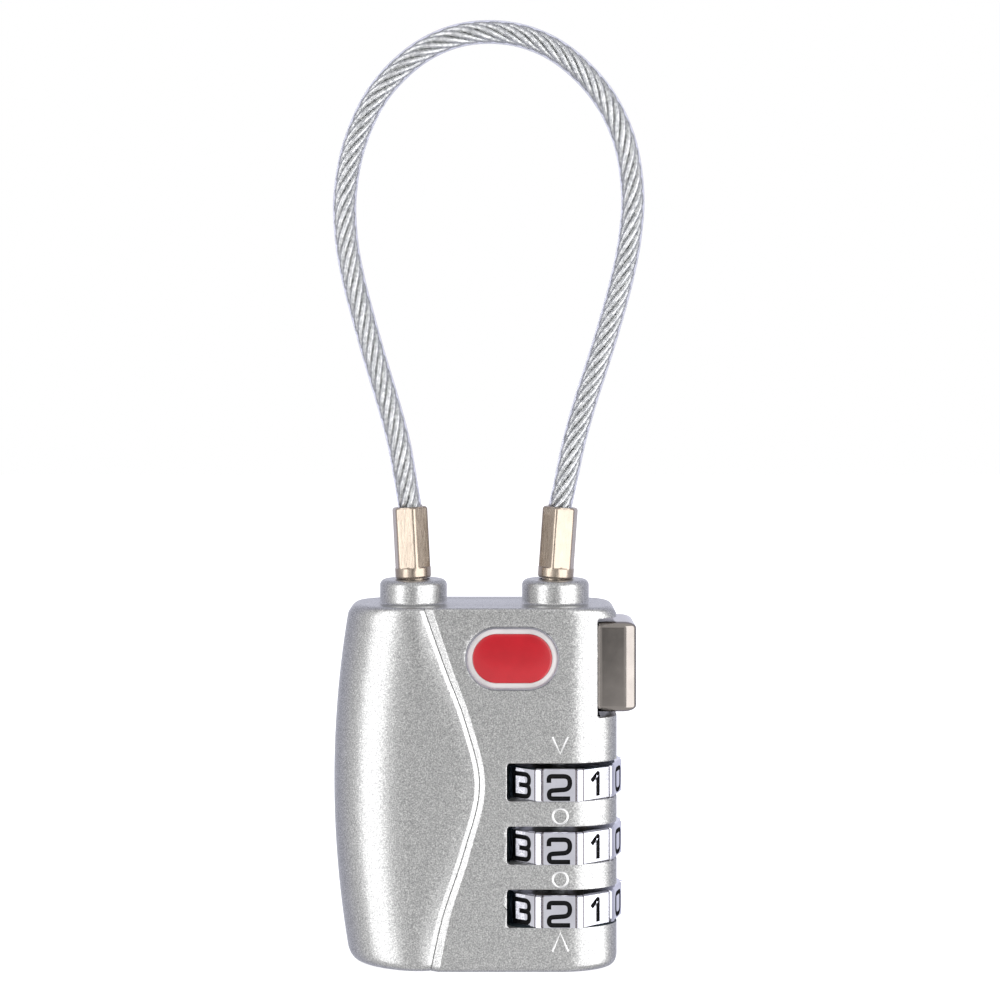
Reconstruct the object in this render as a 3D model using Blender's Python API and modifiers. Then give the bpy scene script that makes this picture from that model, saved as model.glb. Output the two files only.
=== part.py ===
"""Cable luggage lock: a die-cast casing with three digit dials, a push button, a key cylinder and a wire-rope shackle.

The frame: +Z up along the cable, -Y the front, +X the side of the dials and the button. The origin is on the flat base.
"""

import math

import bmesh
import bpy
from mathutils import Matrix, Vector
from mathutils.geometry import interpolate_bezier

MM = 0.001

# Casing
CASE_HEIGHT = 39.3 * MM
CASE_HALF_WIDTH = 15.5 * MM
CASE_HALF_DEPTH = 6.5 * MM
LEFT_BULGE = 1.7 * MM
LEFT_BULGE_Z = 20.0 * MM
RIGHT_CORNER = (3.0 * MM, 3.3 * MM)
FRONT_LEFT_CORNER = (8.6 * MM, 5.8 * MM)
REAR_LEFT_CORNER = (5.0 * MM, 3.6 * MM)
CORNER_STEPS = 5
SPLIT_Y = 4.2 * MM
GAP = 0.3 * MM
WALL_INNER_Y = -4.7 * MM

# Bosses that the cable's two ends stand in
BOSS_X = (-6.8 * MM, 8.9 * MM)
BOSS_LEAN = (math.radians(-3.0), math.radians(4.0))
BOSS_RADIUS = 3.7 * MM
BOSS_TOP = 41.9 * MM

# Dials, from the bottom up, on one vertical axis
DIAL_X = 9.14 * MM
DIAL_PITCH = 6.8 * MM
DIAL_Z = [6.75 * MM + DIAL_PITCH * i for i in range(3)]
DIAL_RADIUS = 7.3 * MM
DIAL_HEIGHT = 3.5 * MM
DIAL_BORE = 3.6 * MM
DIAL_CHAMFER = 0.35 * MM
WINDOW_LEFT = 3.5 * MM
WINDOW_HEIGHT = 3.9 * MM
WINDOW_LIFT = 0.1 * MM  # a dial sits this much below its window's middle
SLEEVE_RADIUS = 3.2 * MM
SLEEVE_BORE = 1.6 * MM
SLEEVE_HEIGHT = 3.0 * MM
KEY_WIDTH = 0.9 * MM
SPINDLE_RADIUS = 1.2 * MM
SPINDLE_FOOT = 4.4 * MM
FIN_REACH = 2.7 * MM
FIN_WIDTH = 1.0 * MM
FIN_HEIGHT = 1.1 * MM
FIN_OVER_DIAL = 1.8 * MM
SHELF_Z = 24.2 * MM
HEAD_Z = 27.7 * MM
TRAVEL = 2.0 * MM

# Button, in its notch in the right-hand edge
BUTTON_X = (13.55 * MM, 17.6 * MM)
BUTTON_Z = (27.8 * MM, 37.6 * MM)
BUTTON_HALF_DEPTH = 4.4 * MM
NOTCH_X = 13.3 * MM
NOTCH_Z = (27.4 * MM, 38.1 * MM)
FLANGE_X = 12.3 * MM

# Latch and the plug that it holds
LATCH_Z = (34.8 * MM, 35.8 * MM)
LATCH_HALF_WIDTH = 2.9 * MM
LATCH_LEFT = -1.6 * MM
FORK_HALF_WIDTH = 1.65 * MM
PLUG_RADIUS = 1.5 * MM
PLUG_TIP = -9.8 * MM
FERRULE_RADIUS = 2.0 * MM
FERRULE_LENGTH = 8.0 * MM
COLLAR_HEIGHT = 1.2 * MM

# Key cylinder, standing on the base
CYLINDER_X = -8.0 * MM
BARREL_RADIUS = 3.9 * MM
CORE_RADIUS = 2.65 * MM
CORE_HEAD_RADIUS = 3.1 * MM
CORE_TOP = 16.6 * MM
BASE_WALL = 1.7 * MM
WAFER_PITCH = 2.8 * MM
WAFER_Z = [3.6 * MM + WAFER_PITCH * i for i in range(4)]

# Badge, on the flat right-hand panel
BADGE_CENTRE = (4.1 * MM, 33.9 * MM)
BADGE_SIZE = (10.2 * MM, 6.9 * MM)
BADGE_RECESS = 0.55 * MM
BADGE_THICKNESS = 0.3 * MM

# Rivets of the rear cover, and the code reset pin
RIVETS = ((-11.7 * MM, 33.0 * MM), (-1.4 * MM, 4.5 * MM), (-1.4 * MM, 20.4 * MM))
RESET_AT = (4.4 * MM, 26.6 * MM)
RESET_RADIUS = 1.0 * MM

# Cable: its middle line in the XZ plane, from the left ferrule over the top to the right one
CABLE_DIAMETER = 2.6 * MM
CABLE_ROUTE = (
    (-7.25, 50.25), (-7.8, 53.5), (-8.5, 57.25), (-9.75, 61.85), (-11.1, 66.3), (-12.35, 70.75),
    (-13.5, 75.25), (-14.25, 79.7), (-14.35, 84.6), (-13.3, 90.05), (-10.85, 95.35), (-7.05, 99.4),
    (-2.85, 101.7), (1.55, 102.4), (6.05, 101.7), (10.25, 99.45), (14.15, 95.35), (16.55, 90.3),
    (17.45, 84.6), (17.15, 79.7), (16.3, 75.25), (15.1, 70.75), (13.75, 66.3), (12.25, 61.65), (11, 57.25),
    (10.2, 53.5), (9.5, 50.25),
)
CABLE_POINTS = 60

METALS = {
    "silver_paint": ((0.62, 0.63, 0.64), 0.38, 0.75),
    "chrome": ((0.80, 0.81, 0.83), 0.10, 1.0),
    "nickel": ((0.72, 0.69, 0.64), 0.16, 1.0),
    "steel": ((0.55, 0.56, 0.58), 0.35, 1.0),
    "brass": ((0.72, 0.56, 0.28), 0.30, 1.0),
    "cable_sheath": ((0.74, 0.75, 0.78), 0.25, 0.2),
    "badge_red": ((0.62, 0.05, 0.04), 0.25, 0.0),
}


def clear_scene():
    for obj in list(bpy.data.objects):
        bpy.data.objects.remove(obj, do_unlink=True)


def new_collection(name):
    collection = bpy.data.collections.new(name)
    bpy.context.scene.collection.children.link(collection)
    return collection


def metal(name):
    """The Principled material of this name, made once."""
    if name in bpy.data.materials:
        return bpy.data.materials[name]
    colour, roughness, metallic = METALS[name]
    made = bpy.data.materials.new(name)
    made.use_nodes = True
    shader = made.node_tree.nodes["Principled BSDF"]
    shader.inputs["Base Color"].default_value = (*colour, 1)
    shader.inputs["Roughness"].default_value = roughness
    shader.inputs["Metallic"].default_value = metallic
    return made


def add_object(name, mesh, finish=None, at=(0, 0, 0)):
    """A piece of the lock or, with no finish, a cutter."""
    obj = bpy.data.objects.new(name, mesh)
    obj.location = at
    if finish:
        lock.objects.link(obj)
        mesh.materials.append(metal(finish))
    else:
        cutters.objects.link(obj)
        obj.hide_render = True
        obj.display_type = "WIRE"
    return obj


def mesh_from(name, bm):
    bmesh.ops.recalc_face_normals(bm, faces=bm.faces[:])
    mesh = bpy.data.meshes.new(name)
    bm.to_mesh(mesh)
    bm.free()
    return mesh


def box(name, low, high, finish=None, round_by=0.0, at=(0, 0, 0)):
    """A box from one corner to the other, its edges rounded by round_by."""
    low, high = Vector(low), Vector(high)
    bm = bmesh.new()
    place = Matrix.Translation((low + high) / 2) @ Matrix.Diagonal((*(high - low), 1))
    bmesh.ops.create_cube(bm, size=1.0, matrix=place)
    if round_by:
        bmesh.ops.bevel(bm, geom=bm.edges[:], offset=round_by, segments=3, profile=0.5, affect="EDGES")
    return add_object(name, mesh_from(name, bm), finish, at)


def turned(name, profile, finish=None, at=(0, 0, 0), steps=32, ring=False):
    """A turned shape: its profile of (radius, height) runs down the outside, and a ring's closes on itself."""
    mesh = bpy.data.meshes.new(name)
    edges = [(i, i + 1) for i in range(len(profile) - 1)]
    if ring:
        edges.append((len(profile) - 1, 0))
    mesh.from_pydata([(radius, 0, height) for radius, height in profile], edges, [])
    obj = add_object(name, mesh, finish, at)
    screw = obj.modifiers.new("Turn", "SCREW")
    screw.axis = "Z"
    screw.steps = screw.render_steps = steps
    screw.use_merge_vertices = True
    screw.merge_threshold = 1e-6
    screw.use_smooth_shade = True
    return obj


def rod(name, radius, bottom, top, finish=None, at=(0, 0, 0), steps=32):
    return turned(name, [(0, top), (radius, top), (radius, bottom), (0, bottom)], finish, at, steps)


def tube(name, inner, outer, bottom, top, finish=None, at=(0, 0, 0), steps=32):
    return turned(name, [(outer, top), (outer, bottom), (inner, bottom), (inner, top)], finish, at, steps, ring=True)


def prism(name, outline, thickness, finish=None, turn=None, at=(0, 0, 0)):
    """A flat outline of points (or of several, the later ones holes), made solid to both sides of its plane."""
    loops = outline if isinstance(outline[0][0], (tuple, list)) else [outline]
    curve = bpy.data.curves.new(name, "CURVE")
    curve.dimensions = "2D"
    curve.fill_mode = "BOTH"
    curve.extrude = thickness / 2
    for loop in loops:
        spline = curve.splines.new("POLY")
        spline.points.add(len(loop) - 1)
        for point, (u, v) in zip(spline.points, loop):
            point.co = (u, v, 0, 1)
        spline.use_cyclic_u = True
    return solid_curve(name, curve, finish, turn or Matrix.Identity(4), at)


def solid_curve(name, curve, finish, turn, at=(0, 0, 0)):
    """A curve's solid as a mesh with its caps joined on."""
    guide = bpy.data.objects.new(name + "_curve", curve)
    bpy.context.scene.collection.objects.link(guide)
    bpy.context.view_layer.update()
    mesh = bpy.data.meshes.new_from_object(guide.evaluated_get(bpy.context.evaluated_depsgraph_get()))
    bpy.data.objects.remove(guide, do_unlink=True)
    bm = bmesh.new()
    bm.from_mesh(mesh)
    bpy.data.meshes.remove(mesh)
    bmesh.ops.remove_doubles(bm, verts=bm.verts[:], dist=1e-6)
    bmesh.ops.transform(bm, matrix=turn, verts=bm.verts[:])
    return add_object(name, mesh_from(name, bm), finish, at)


def combine(obj, operation, *others):
    for other in others:
        boolean = obj.modifiers.new(f"{operation.title()} {other.name}", "BOOLEAN")
        boolean.operation = operation
        boolean.object = other


def cut(obj, *others):
    combine(obj, "DIFFERENCE", *others)


def join(obj, *others):
    combine(obj, "UNION", *others)


FRONT_PLANE = Matrix.Rotation(math.radians(90), 4, "X")  # a drawing's (u, v) becomes (x, z)


def rounding(from_end, inset, height):
    """How far an edge has drawn in at this distance from its end, along a quarter ellipse."""
    if from_end >= height:
        return 0.0
    return inset * (1 - math.sqrt(1 - (1 - from_end / height) ** 2))


def case_section(z):
    """The casing's outline at height z: soft wide corners on the left, tighter ones on the right."""
    over, under = CASE_HEIGHT - z, z
    bulge = LEFT_BULGE * ((z - LEFT_BULGE_Z) / (CASE_HEIGHT - LEFT_BULGE_Z)) ** 2
    left = -CASE_HALF_WIDTH + bulge + rounding(under, 4.3 * MM, 2.3 * MM) + rounding(over, 1.2 * MM, 1.2 * MM)
    right = CASE_HALF_WIDTH - rounding(under, 2.6 * MM, 2.0 * MM) - rounding(over, 1.2 * MM, 1.2 * MM)
    depth = CASE_HALF_DEPTH - rounding(under, 1.0 * MM, 1.0 * MM) - rounding(over, 1.0 * MM, 1.0 * MM)
    corners = (
        (right, -depth, *RIGHT_CORNER, 1, -1, 270),
        (right, depth, *RIGHT_CORNER, 1, 1, 0),
        (left, depth, *REAR_LEFT_CORNER, -1, 1, 90),
        (left, -depth, *FRONT_LEFT_CORNER, -1, -1, 180),
    )
    ring = []
    for x, y, reach_x, reach_y, side_x, side_y, start in corners:
        for step in range(CORNER_STEPS + 1):
            angle = math.radians(start + 90 * step / CORNER_STEPS)
            ring.append((
                x - side_x * reach_x + reach_x * math.cos(angle),
                y - side_y * reach_y + reach_y * math.sin(angle),
                z,
            ))
    return ring


def case_blank(name, finish=None):
    """The whole casing as one solid, lofted through its sections."""
    bottom_edge, side, top_edge = [0, 0.1, 0.35, 0.7, 1.1, 1.7, 2.3], range(5, 37, 4), [38.1, 38.6, 38.95, 39.2, 39.3]
    heights = [*bottom_edge, *side, *top_edge]
    bm = bmesh.new()
    rings = [[bm.verts.new(point) for point in case_section(z * MM)] for z in heights]
    for lower, upper in zip(rings, rings[1:]):
        for i in range(len(lower)):
            following = (i + 1) % len(lower)
            bm.faces.new((lower[i], lower[following], upper[following], upper[i]))
    bm.faces.new(list(reversed(rings[0])))
    bm.faces.new(rings[-1])
    return add_object(name, mesh_from(name, bm), finish)


def oval(width, height, points=32):
    """A stadium: straight top and bottom, with half-round ends."""
    radius = height / 2
    middle = width / 2 - radius
    outline = []
    for i in range(points):
        angle = 2 * math.pi * (i + 0.5) / points
        side = middle if math.cos(angle) > 0 else -middle
        outline.append((side + radius * math.cos(angle), radius * math.sin(angle)))
    return outline


def window_cutters():
    """At each dial, a window open to the front, the right-hand side and the back, and the round room behind it."""
    reach = CASE_HALF_DEPTH + 1 * MM
    half = WINDOW_HEIGHT / 2
    found = []
    for number, dial_z in enumerate(DIAL_Z, 1):
        z = dial_z + WINDOW_LIFT
        low, high = (WINDOW_LEFT, -reach, z - half), (CASE_HALF_WIDTH + 1 * MM, reach, z + half)
        found.append(box(f"window_{number}_cutter", low, high))
        found.append(rod(f"dial_room_{number}", DIAL_RADIUS + GAP, z - half, z + half, at=(DIAL_X, 0, 0), steps=48))
    return found


def notch_cutter():
    reach = CASE_HALF_DEPTH + 1 * MM
    return box("notch_cutter", (NOTCH_X, -reach, NOTCH_Z[0]), (CASE_HALF_WIDTH + 1 * MM, reach, NOTCH_Z[1]))


def lean(obj, side):
    """Tilts a piece of one cable end outwards about the top of its boss."""
    obj.location = (BOSS_X[side], 0, BOSS_TOP)
    obj.rotation_euler = (0, BOSS_LEAN[side], 0)
    return obj


def front_shell():
    shell = case_blank("front_shell", "silver_paint")
    back = 10 * MM
    cut(shell, box("split_cutter", (-20 * MM, SPLIT_Y, -MM), (20 * MM, back, CASE_HEIGHT + MM)))
    edge = 0.6 * MM
    for side, x in enumerate(BOSS_X):
        profile = [
            (0, BOSS_TOP), (BOSS_RADIUS - edge, BOSS_TOP), (BOSS_RADIUS - 0.18 * MM, BOSS_TOP - 0.18 * MM),
            (BOSS_RADIUS, BOSS_TOP - edge), (BOSS_RADIUS, CASE_HEIGHT + 0.3 * MM),
            (BOSS_RADIUS + 0.2 * MM, CASE_HEIGHT - 0.6 * MM), (0, CASE_HEIGHT - 0.6 * MM),
        ]
        join(shell, turned(f"boss_{side + 1}", profile, at=(x, 0, 0)))
        cut(shell, lean(rod(f"boss_bore_{side + 1}", PLUG_RADIUS + GAP, -7 * MM, MM, steps=20), side))
    pockets = {
        "mechanism": ((-9.6 * MM, WALL_INNER_Y, SHELF_Z), (13.6 * MM, back, 37.6 * MM)),
        "button": ((10.2 * MM, WALL_INNER_Y + 0.05 * MM, 26.2 * MM), (13.45 * MM, back + MM, 38.0 * MM)),
        "cylinder": ((-11.0 * MM, 0, BASE_WALL + 0.1 * MM), (-4.6 * MM, back + 2 * MM, SHELF_Z + MM)),
        "detent": ((0.3 * MM, -2 * MM, 3.5 * MM), (WINDOW_LEFT + MM, 2 * MM, 23 * MM)),
    }
    for name, (low, high) in pockets.items():
        cut(shell, box(f"{name}_pocket", low, high))
    cut(shell, *windows)
    cut(shell, notch)
    cut(shell, rod("spindle_bore", SPINDLE_RADIUS + GAP, 2.0 * MM, SHELF_Z + MM, at=(DIAL_X, 0, 0), steps=20))
    fin_slot = FIN_REACH + 0.4 * MM
    cut(shell, box(
        "fin_slot_cutter",
        (DIAL_X - fin_slot, -0.75 * MM, DIAL_Z[0]),
        (DIAL_X, 0.75 * MM, SHELF_Z + MM),
    ))
    at = (CYLINDER_X, 0, 0)
    cut(shell, rod("barrel_bore", BARREL_RADIUS + 0.25 * MM, BASE_WALL, SHELF_Z + 0.5 * MM, at=at, steps=28))
    cut(shell, rod("core_head_bore", CORE_HEAD_RADIUS + GAP, -MM, BASE_WALL + MM, at=at))
    cut(shell, badge_oval("badge_recess", 0.0, CASE_HALF_DEPTH + MM, CASE_HALF_DEPTH - BADGE_RECESS))
    for i, (x, z) in enumerate(RIVETS):
        cut(shell, rivet_body(f"rivet_hole_{i + 1}", x, z, 0.8 * MM + 0.15 * MM, 0.3 * MM, None))
    return shell


def badge_oval(name, margin, outer, inner, finish=None):
    """The badge's oval, or the recess for it, from y = -outer to y = -inner."""
    outline = oval(BADGE_SIZE[0] - 2 * margin, BADGE_SIZE[1] - 2 * margin)
    at = (BADGE_CENTRE[0], -(outer + inner) / 2, BADGE_CENTRE[1])
    return prism(name, outline, outer - inner, finish, FRONT_PLANE, at)


def rivet_body(name, x, z, radius, deeper, finish):
    """A rivet along Y, its head in the rear cover and its shank in the shell."""
    head_top = CASE_HALF_DEPTH - 0.15 * MM
    neck = CASE_HALF_DEPTH - 0.9 * MM
    foot = 0.6 * MM - deeper
    profile = [(0, head_top), (1.1 * MM, head_top), (1.5 * MM, head_top - 0.3 * MM), (1.5 * MM, neck),
               (radius, neck), (radius, foot), (0, foot)]
    if not finish:
        profile = [(0, CASE_HALF_DEPTH + MM), (radius, CASE_HALF_DEPTH + MM), (radius, foot), (0, foot)]
    body = turned(name, profile, finish, at=(x, 0, z), steps=16)
    body.rotation_euler = (math.radians(-90), 0, 0)
    return body


def rear_cover():
    cover = case_blank("rear_cover", "silver_paint")
    cut(cover, box("front_half_cutter", (-20 * MM, -10 * MM, -MM), (20 * MM, SPLIT_Y + GAP, CASE_HEIGHT + MM)))
    cut(cover, *windows)
    cut(cover, notch)
    for i, (x, z) in enumerate(RIVETS):
        cut(cover, rivet_body(f"cover_hole_{i + 1}", x, z, 0.95 * MM, 0.0, None))
        seat = rod(f"rivet_seat_{i + 1}", 1.65 * MM, CASE_HALF_DEPTH - 1.2 * MM, CASE_HALF_DEPTH + MM, steps=20)
        seat.location = (x, 0, z)
        seat.rotation_euler = (math.radians(-90), 0, 0)
        cut(cover, seat)
    hole = rod("reset_hole", RESET_RADIUS + 0.15 * MM, 3 * MM, 8 * MM, at=(RESET_AT[0], 0, RESET_AT[1]), steps=20)
    hole.rotation_euler = (math.radians(-90), 0, 0)
    cut(cover, hole)


def dials_and_sleeves():
    half = DIAL_HEIGHT / 2
    edge = DIAL_CHAMFER
    groove = (DIAL_BORE + 0.55 * MM, KEY_WIDTH / 2 + 0.15 * MM)
    rim = [(DIAL_RADIUS - edge, half), (DIAL_RADIUS, half - edge), (DIAL_RADIUS, edge - half),
           (DIAL_RADIUS - edge, -half), (DIAL_BORE, -half), (DIAL_BORE, half)]
    for number, z in enumerate(DIAL_Z, 1):
        at = (DIAL_X, 0, z)
        dial = turned(f"dial_{number}", rim, "chrome", at, steps=48, ring=True)
        cut(dial, box(
            f"dial_{number}_keyway", (DIAL_BORE - MM, -groove[1], -2 * half), (groove[0], groove[1], 2 * half), at=at,
        ))
        sleeve = tube(
            f"clutch_sleeve_{number}", SLEEVE_BORE, SLEEVE_RADIUS, -SLEEVE_HEIGHT / 2, SLEEVE_HEIGHT / 2,
            "brass", at, steps=28,
        )
        join(sleeve, box(
            f"sleeve_{number}_key",
            (SLEEVE_RADIUS - 0.4 * MM, -KEY_WIDTH / 2, -SLEEVE_HEIGHT / 2),
            (DIAL_BORE + 0.3 * MM, KEY_WIDTH / 2, SLEEVE_HEIGHT / 2),
            at=at,
        ))
        gate = (FIN_REACH + 0.25 * MM, FIN_WIDTH / 2 + 0.2 * MM)
        cut(sleeve, box(
            f"sleeve_{number}_gates", (-gate[0], -gate[1], -SLEEVE_HEIGHT), (gate[0], gate[1], SLEEVE_HEIGHT), at=at,
        ))


def spindle():
    shaft = rod("spindle", SPINDLE_RADIUS, SPINDLE_FOOT, HEAD_Z + 0.5 * MM, "steel", (DIAL_X, 0, 0), steps=20)
    for number, z in enumerate(DIAL_Z, 1):
        foot = z + FIN_OVER_DIAL
        join(shaft, box(
            f"fin_{number}",
            (-FIN_REACH, -FIN_WIDTH / 2, foot),
            (0, FIN_WIDTH / 2, foot + FIN_HEIGHT),
            at=(DIAL_X, 0, 0),
        ))
    reach = 2.0 * MM
    rise = 0.5 * MM
    head = [(-reach, HEAD_Z), (reach, HEAD_Z), (reach, HEAD_Z + rise), (0, HEAD_Z + rise + reach),
            (-reach, HEAD_Z + rise + reach)]
    join(shaft, prism("spindle_head", head, 4.0 * MM, None, FRONT_PLANE, (DIAL_X, 0, 0)))


def coil(name, radius, wire, start, turns, pitch, turn, at, finish="steel"):
    """A compression spring: a helix of 10 points a turn."""
    per_turn = 10
    curve = bpy.data.curves.new(name, "CURVE")
    curve.dimensions = "3D"
    curve.bevel_depth = wire
    curve.bevel_resolution = 1
    curve.use_fill_caps = True
    count = int(turns * per_turn) + 1
    spline = curve.splines.new("POLY")
    spline.points.add(count - 1)
    for i, point in enumerate(spline.points):
        angle = 2 * math.pi * i / per_turn
        point.co = (radius * math.cos(angle), radius * math.sin(angle), start + pitch * i / per_turn, 1)
    return solid_curve(name, curve, finish, turn, at)


def springs():
    upright = Matrix.Identity(4)
    across = Matrix.Rotation(math.radians(90), 4, "Y")
    coil("spindle_spring", 1.95 * MM, 0.2 * MM, SHELF_Z + 0.45 * MM, 4, 0.68 * MM, upright, (DIAL_X, 0, 0))
    coil("button_spring", 1.0 * MM, 0.17 * MM, 0, 6, 1.0 * MM, across, (6.05 * MM, 2.9 * MM, 31.6 * MM))
    leaf = box("dial_spring", (0.55 * MM, -1.6 * MM, 4 * MM), (0.85 * MM, 1.6 * MM, 22.6 * MM), "steel")
    for number, z in enumerate(DIAL_Z, 1):
        join(leaf, box(
            f"spring_bump_{number}", (0.7 * MM, -0.7 * MM, z - 0.6 * MM), (1.5 * MM, 0.7 * MM, z + 0.6 * MM),
        ))


def release_button():
    """The pad, a flange that keeps it in the casing, and an arm whose ramp drives the spindle down."""
    low = (BUTTON_X[0] - MM, -BUTTON_HALF_DEPTH, BUTTON_Z[0])
    high = (BUTTON_X[1], BUTTON_HALF_DEPTH, BUTTON_Z[1])
    button = box("release_button", low, high, "nickel", round_by=0.8 * MM)
    flange_right = NOTCH_X - 0.1 * MM
    join(button, box("button_flange", (FLANGE_X, -4.0 * MM, 26.5 * MM), (flange_right, 4.0 * MM, 37.2 * MM)))
    head_way = 2.35 * MM
    cut(button, box("head_way_cutter", (8 * MM, -head_way, 26 * MM), (flange_right, head_way, 28.5 * MM)))
    ramp = DIAL_X + HEAD_Z + 0.5 * MM + 2.0 * MM + GAP * math.sqrt(2) + 0.02 * MM
    top, foot = 31.4 * MM, 28.6 * MM
    arm_left = 9.0 * MM
    arm = [(FLANGE_X + 0.5 * MM, top), (arm_left, top), (arm_left, ramp - arm_left), (ramp - foot, foot),
           (FLANGE_X + 0.5 * MM, foot)]
    join(button, prism("button_arm", arm, 3.4 * MM, None, FRONT_PLANE))


def latch_slide():
    """A plate with a fork round the plug's groove and a tab that hangs down at its left-hand end."""
    low, high = LATCH_Z
    right = FLANGE_X - GAP
    plate = box("latch_slide", (LATCH_LEFT, -LATCH_HALF_WIDTH, low), (right, LATCH_HALF_WIDTH, high), "steel")
    fork_end = BOSS_X[1] - 2.5 * MM
    cut(plate, box("fork_cutter", (fork_end, -FORK_HALF_WIDTH, low - MM), (right + MM, FORK_HALF_WIDTH, high + MM)))
    join(plate, box("latch_tab", (LATCH_LEFT, -2 * MM, 29.5 * MM), (LATCH_LEFT + 0.8 * MM, 2 * MM, high - 0.2 * MM)))


def ferrule(name, side, groove):
    """A crimped sleeve on the cable: a hexagon above a round collar, and a turned shank with a groove below."""
    low, high = groove
    tip = PLUG_TIP
    profile = [
        (0, COLLAR_HEIGHT + 0.3 * MM), (FERRULE_RADIUS - 0.1 * MM, COLLAR_HEIGHT + 0.3 * MM),
        (FERRULE_RADIUS - 0.1 * MM, 0.15 * MM), (PLUG_RADIUS, 0.15 * MM), (PLUG_RADIUS, high), (1.0 * MM, high),
        (1.0 * MM, low), (PLUG_RADIUS, low), (PLUG_RADIUS, tip + 0.6 * MM), (0.9 * MM, tip), (0, tip),
    ]
    sleeve = lean(turned(name, profile, "nickel", steps=20), side)
    bm = bmesh.new()
    bmesh.ops.create_cone(
        bm, cap_ends=True, segments=6, radius1=FERRULE_RADIUS, radius2=FERRULE_RADIUS, depth=FERRULE_LENGTH - COLLAR_HEIGHT,
        matrix=Matrix.Translation((0, 0, (FERRULE_LENGTH + COLLAR_HEIGHT) / 2)),
    )
    join(sleeve, lean(add_object(name + "_hexagon", mesh_from(name + "_hexagon", bm)), side))
    return sleeve


def anchor_clip():
    """A flat clip that grips the groove of the fixed ferrule from the left."""
    groove = 1.15 * MM
    reach = 2.2 * MM
    outline = [(-reach, -2.4 * MM), (reach, -2.4 * MM), (reach, -groove)]
    outline += [(groove * math.cos(math.radians(a)), groove * math.sin(math.radians(a))) for a in range(270, 89, -30)]
    outline += [(reach, groove), (reach, 2.4 * MM), (-reach, 2.4 * MM)]
    middle = Matrix.Translation((0, 0, -6.4 * MM))
    lean(prism("anchor_clip", outline, 0.7 * MM, "steel", middle), 0)


def key_cylinder():
    at = (CYLINDER_X, 0, 0)
    tube("cylinder_barrel", CORE_RADIUS + 0.2 * MM, BARREL_RADIUS, BASE_WALL + GAP, 15.3 * MM, "brass", at)
    head = BASE_WALL - 0.05 * MM
    profile = [
        (0, CORE_TOP), (CORE_RADIUS, CORE_TOP), (CORE_RADIUS, CORE_TOP - 0.4 * MM), (2.2 * MM, CORE_TOP - 0.4 * MM),
        (2.2 * MM, 15.4 * MM), (CORE_RADIUS, 15.4 * MM), (CORE_RADIUS, head), (CORE_HEAD_RADIUS, head),
        (CORE_HEAD_RADIUS, 0.35 * MM), (CORE_HEAD_RADIUS - 0.2 * MM, 0.15 * MM), (0, 0.15 * MM),
    ]
    core = turned("cylinder_core", profile, "brass", at)
    cut(core, box("keyway_cutter", (-0.45 * MM, -1.8 * MM, -MM), (0.45 * MM, 1.8 * MM, 14.4 * MM), at=at))
    window = [(-0.65 * MM, -1.95 * MM), (0.65 * MM, -1.95 * MM), (0.65 * MM, 1.95 * MM), (-0.65 * MM, 1.95 * MM)]
    frame = [(-1.5 * MM, -2.2 * MM), (1.5 * MM, -2.2 * MM), (1.5 * MM, 2.2 * MM), (-1.5 * MM, 2.2 * MM)]
    for number, z in enumerate(WAFER_Z, 1):
        cut(core, box(
            f"wafer_slot_{number}", (-1.7 * MM, -3 * MM, z - 0.5 * MM), (1.7 * MM, 3 * MM, z + 0.5 * MM), at=at,
        ))
        prism(f"wafer_{number}", [frame, window], 0.6 * MM, "brass", None, (CYLINDER_X, 0, z))
    tube("core_clip", 2.35 * MM, 3.5 * MM, 15.55 * MM, 16.05 * MM, "steel", at, steps=24)
    cam = turned("core_cam", [
        (0, 30.5 * MM), (1.2 * MM, 30.5 * MM), (1.2 * MM, 29.5 * MM), (1.0 * MM, 29.5 * MM), (1.0 * MM, 17.7 * MM),
        (2.4 * MM, 17.7 * MM), (2.4 * MM, 16.9 * MM), (0, 16.9 * MM),
    ], "steel", at, steps=24)
    join(cam, box("cam_arm", (-0.8 * MM, -3.9 * MM, 29.6 * MM), (0.8 * MM, 0, 30.4 * MM), at=at))


def rear_fittings():
    for i, (x, z) in enumerate(RIVETS):
        rivet_body(f"cover_rivet_{i + 1}", x, z, 0.8 * MM, 0.0, "steel")
    pin = turned("reset_pin", [
        (0, 6.2 * MM), (RESET_RADIUS, 6.2 * MM), (RESET_RADIUS, 4.1 * MM), (1.6 * MM, 4.1 * MM), (1.6 * MM, 3.5 * MM),
        (0.7 * MM, 3.5 * MM), (0.7 * MM, 1.5 * MM), (0, 1.5 * MM),
    ], "steel", (RESET_AT[0], 0, RESET_AT[1]), steps=16)
    pin.rotation_euler = (math.radians(-90), 0, 0)


def smooth_route(route, count):
    """Points evenly spaced along the smooth curve through the route's own points."""
    knots = [Vector((x * MM, 0, z * MM)) for x, z in route]
    slopes = [
        (knots[min(i + 1, len(knots) - 1)] - knots[max(i - 1, 0)]) / (2 if 0 < i < len(knots) - 1 else 1)
        for i in range(len(knots))
    ]
    fine = []
    for i in range(len(knots) - 1):
        ends = (knots[i], knots[i] + slopes[i] / 3, knots[i + 1] - slopes[i + 1] / 3, knots[i + 1])
        fine += interpolate_bezier(*ends, 9)[:-1]
    fine.append(knots[-1])
    along = [0.0]
    for one, other in zip(fine, fine[1:]):
        along.append(along[-1] + (other - one).length)
    points = []
    piece = 0
    for i in range(count):
        target = along[-1] * i / (count - 1)
        while piece < len(fine) - 2 and along[piece + 1] < target:
            piece += 1
        share = (target - along[piece]) / (along[piece + 1] - along[piece])
        points.append(fine[piece].lerp(fine[piece + 1], min(share, 1.0)))
    return points


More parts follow.
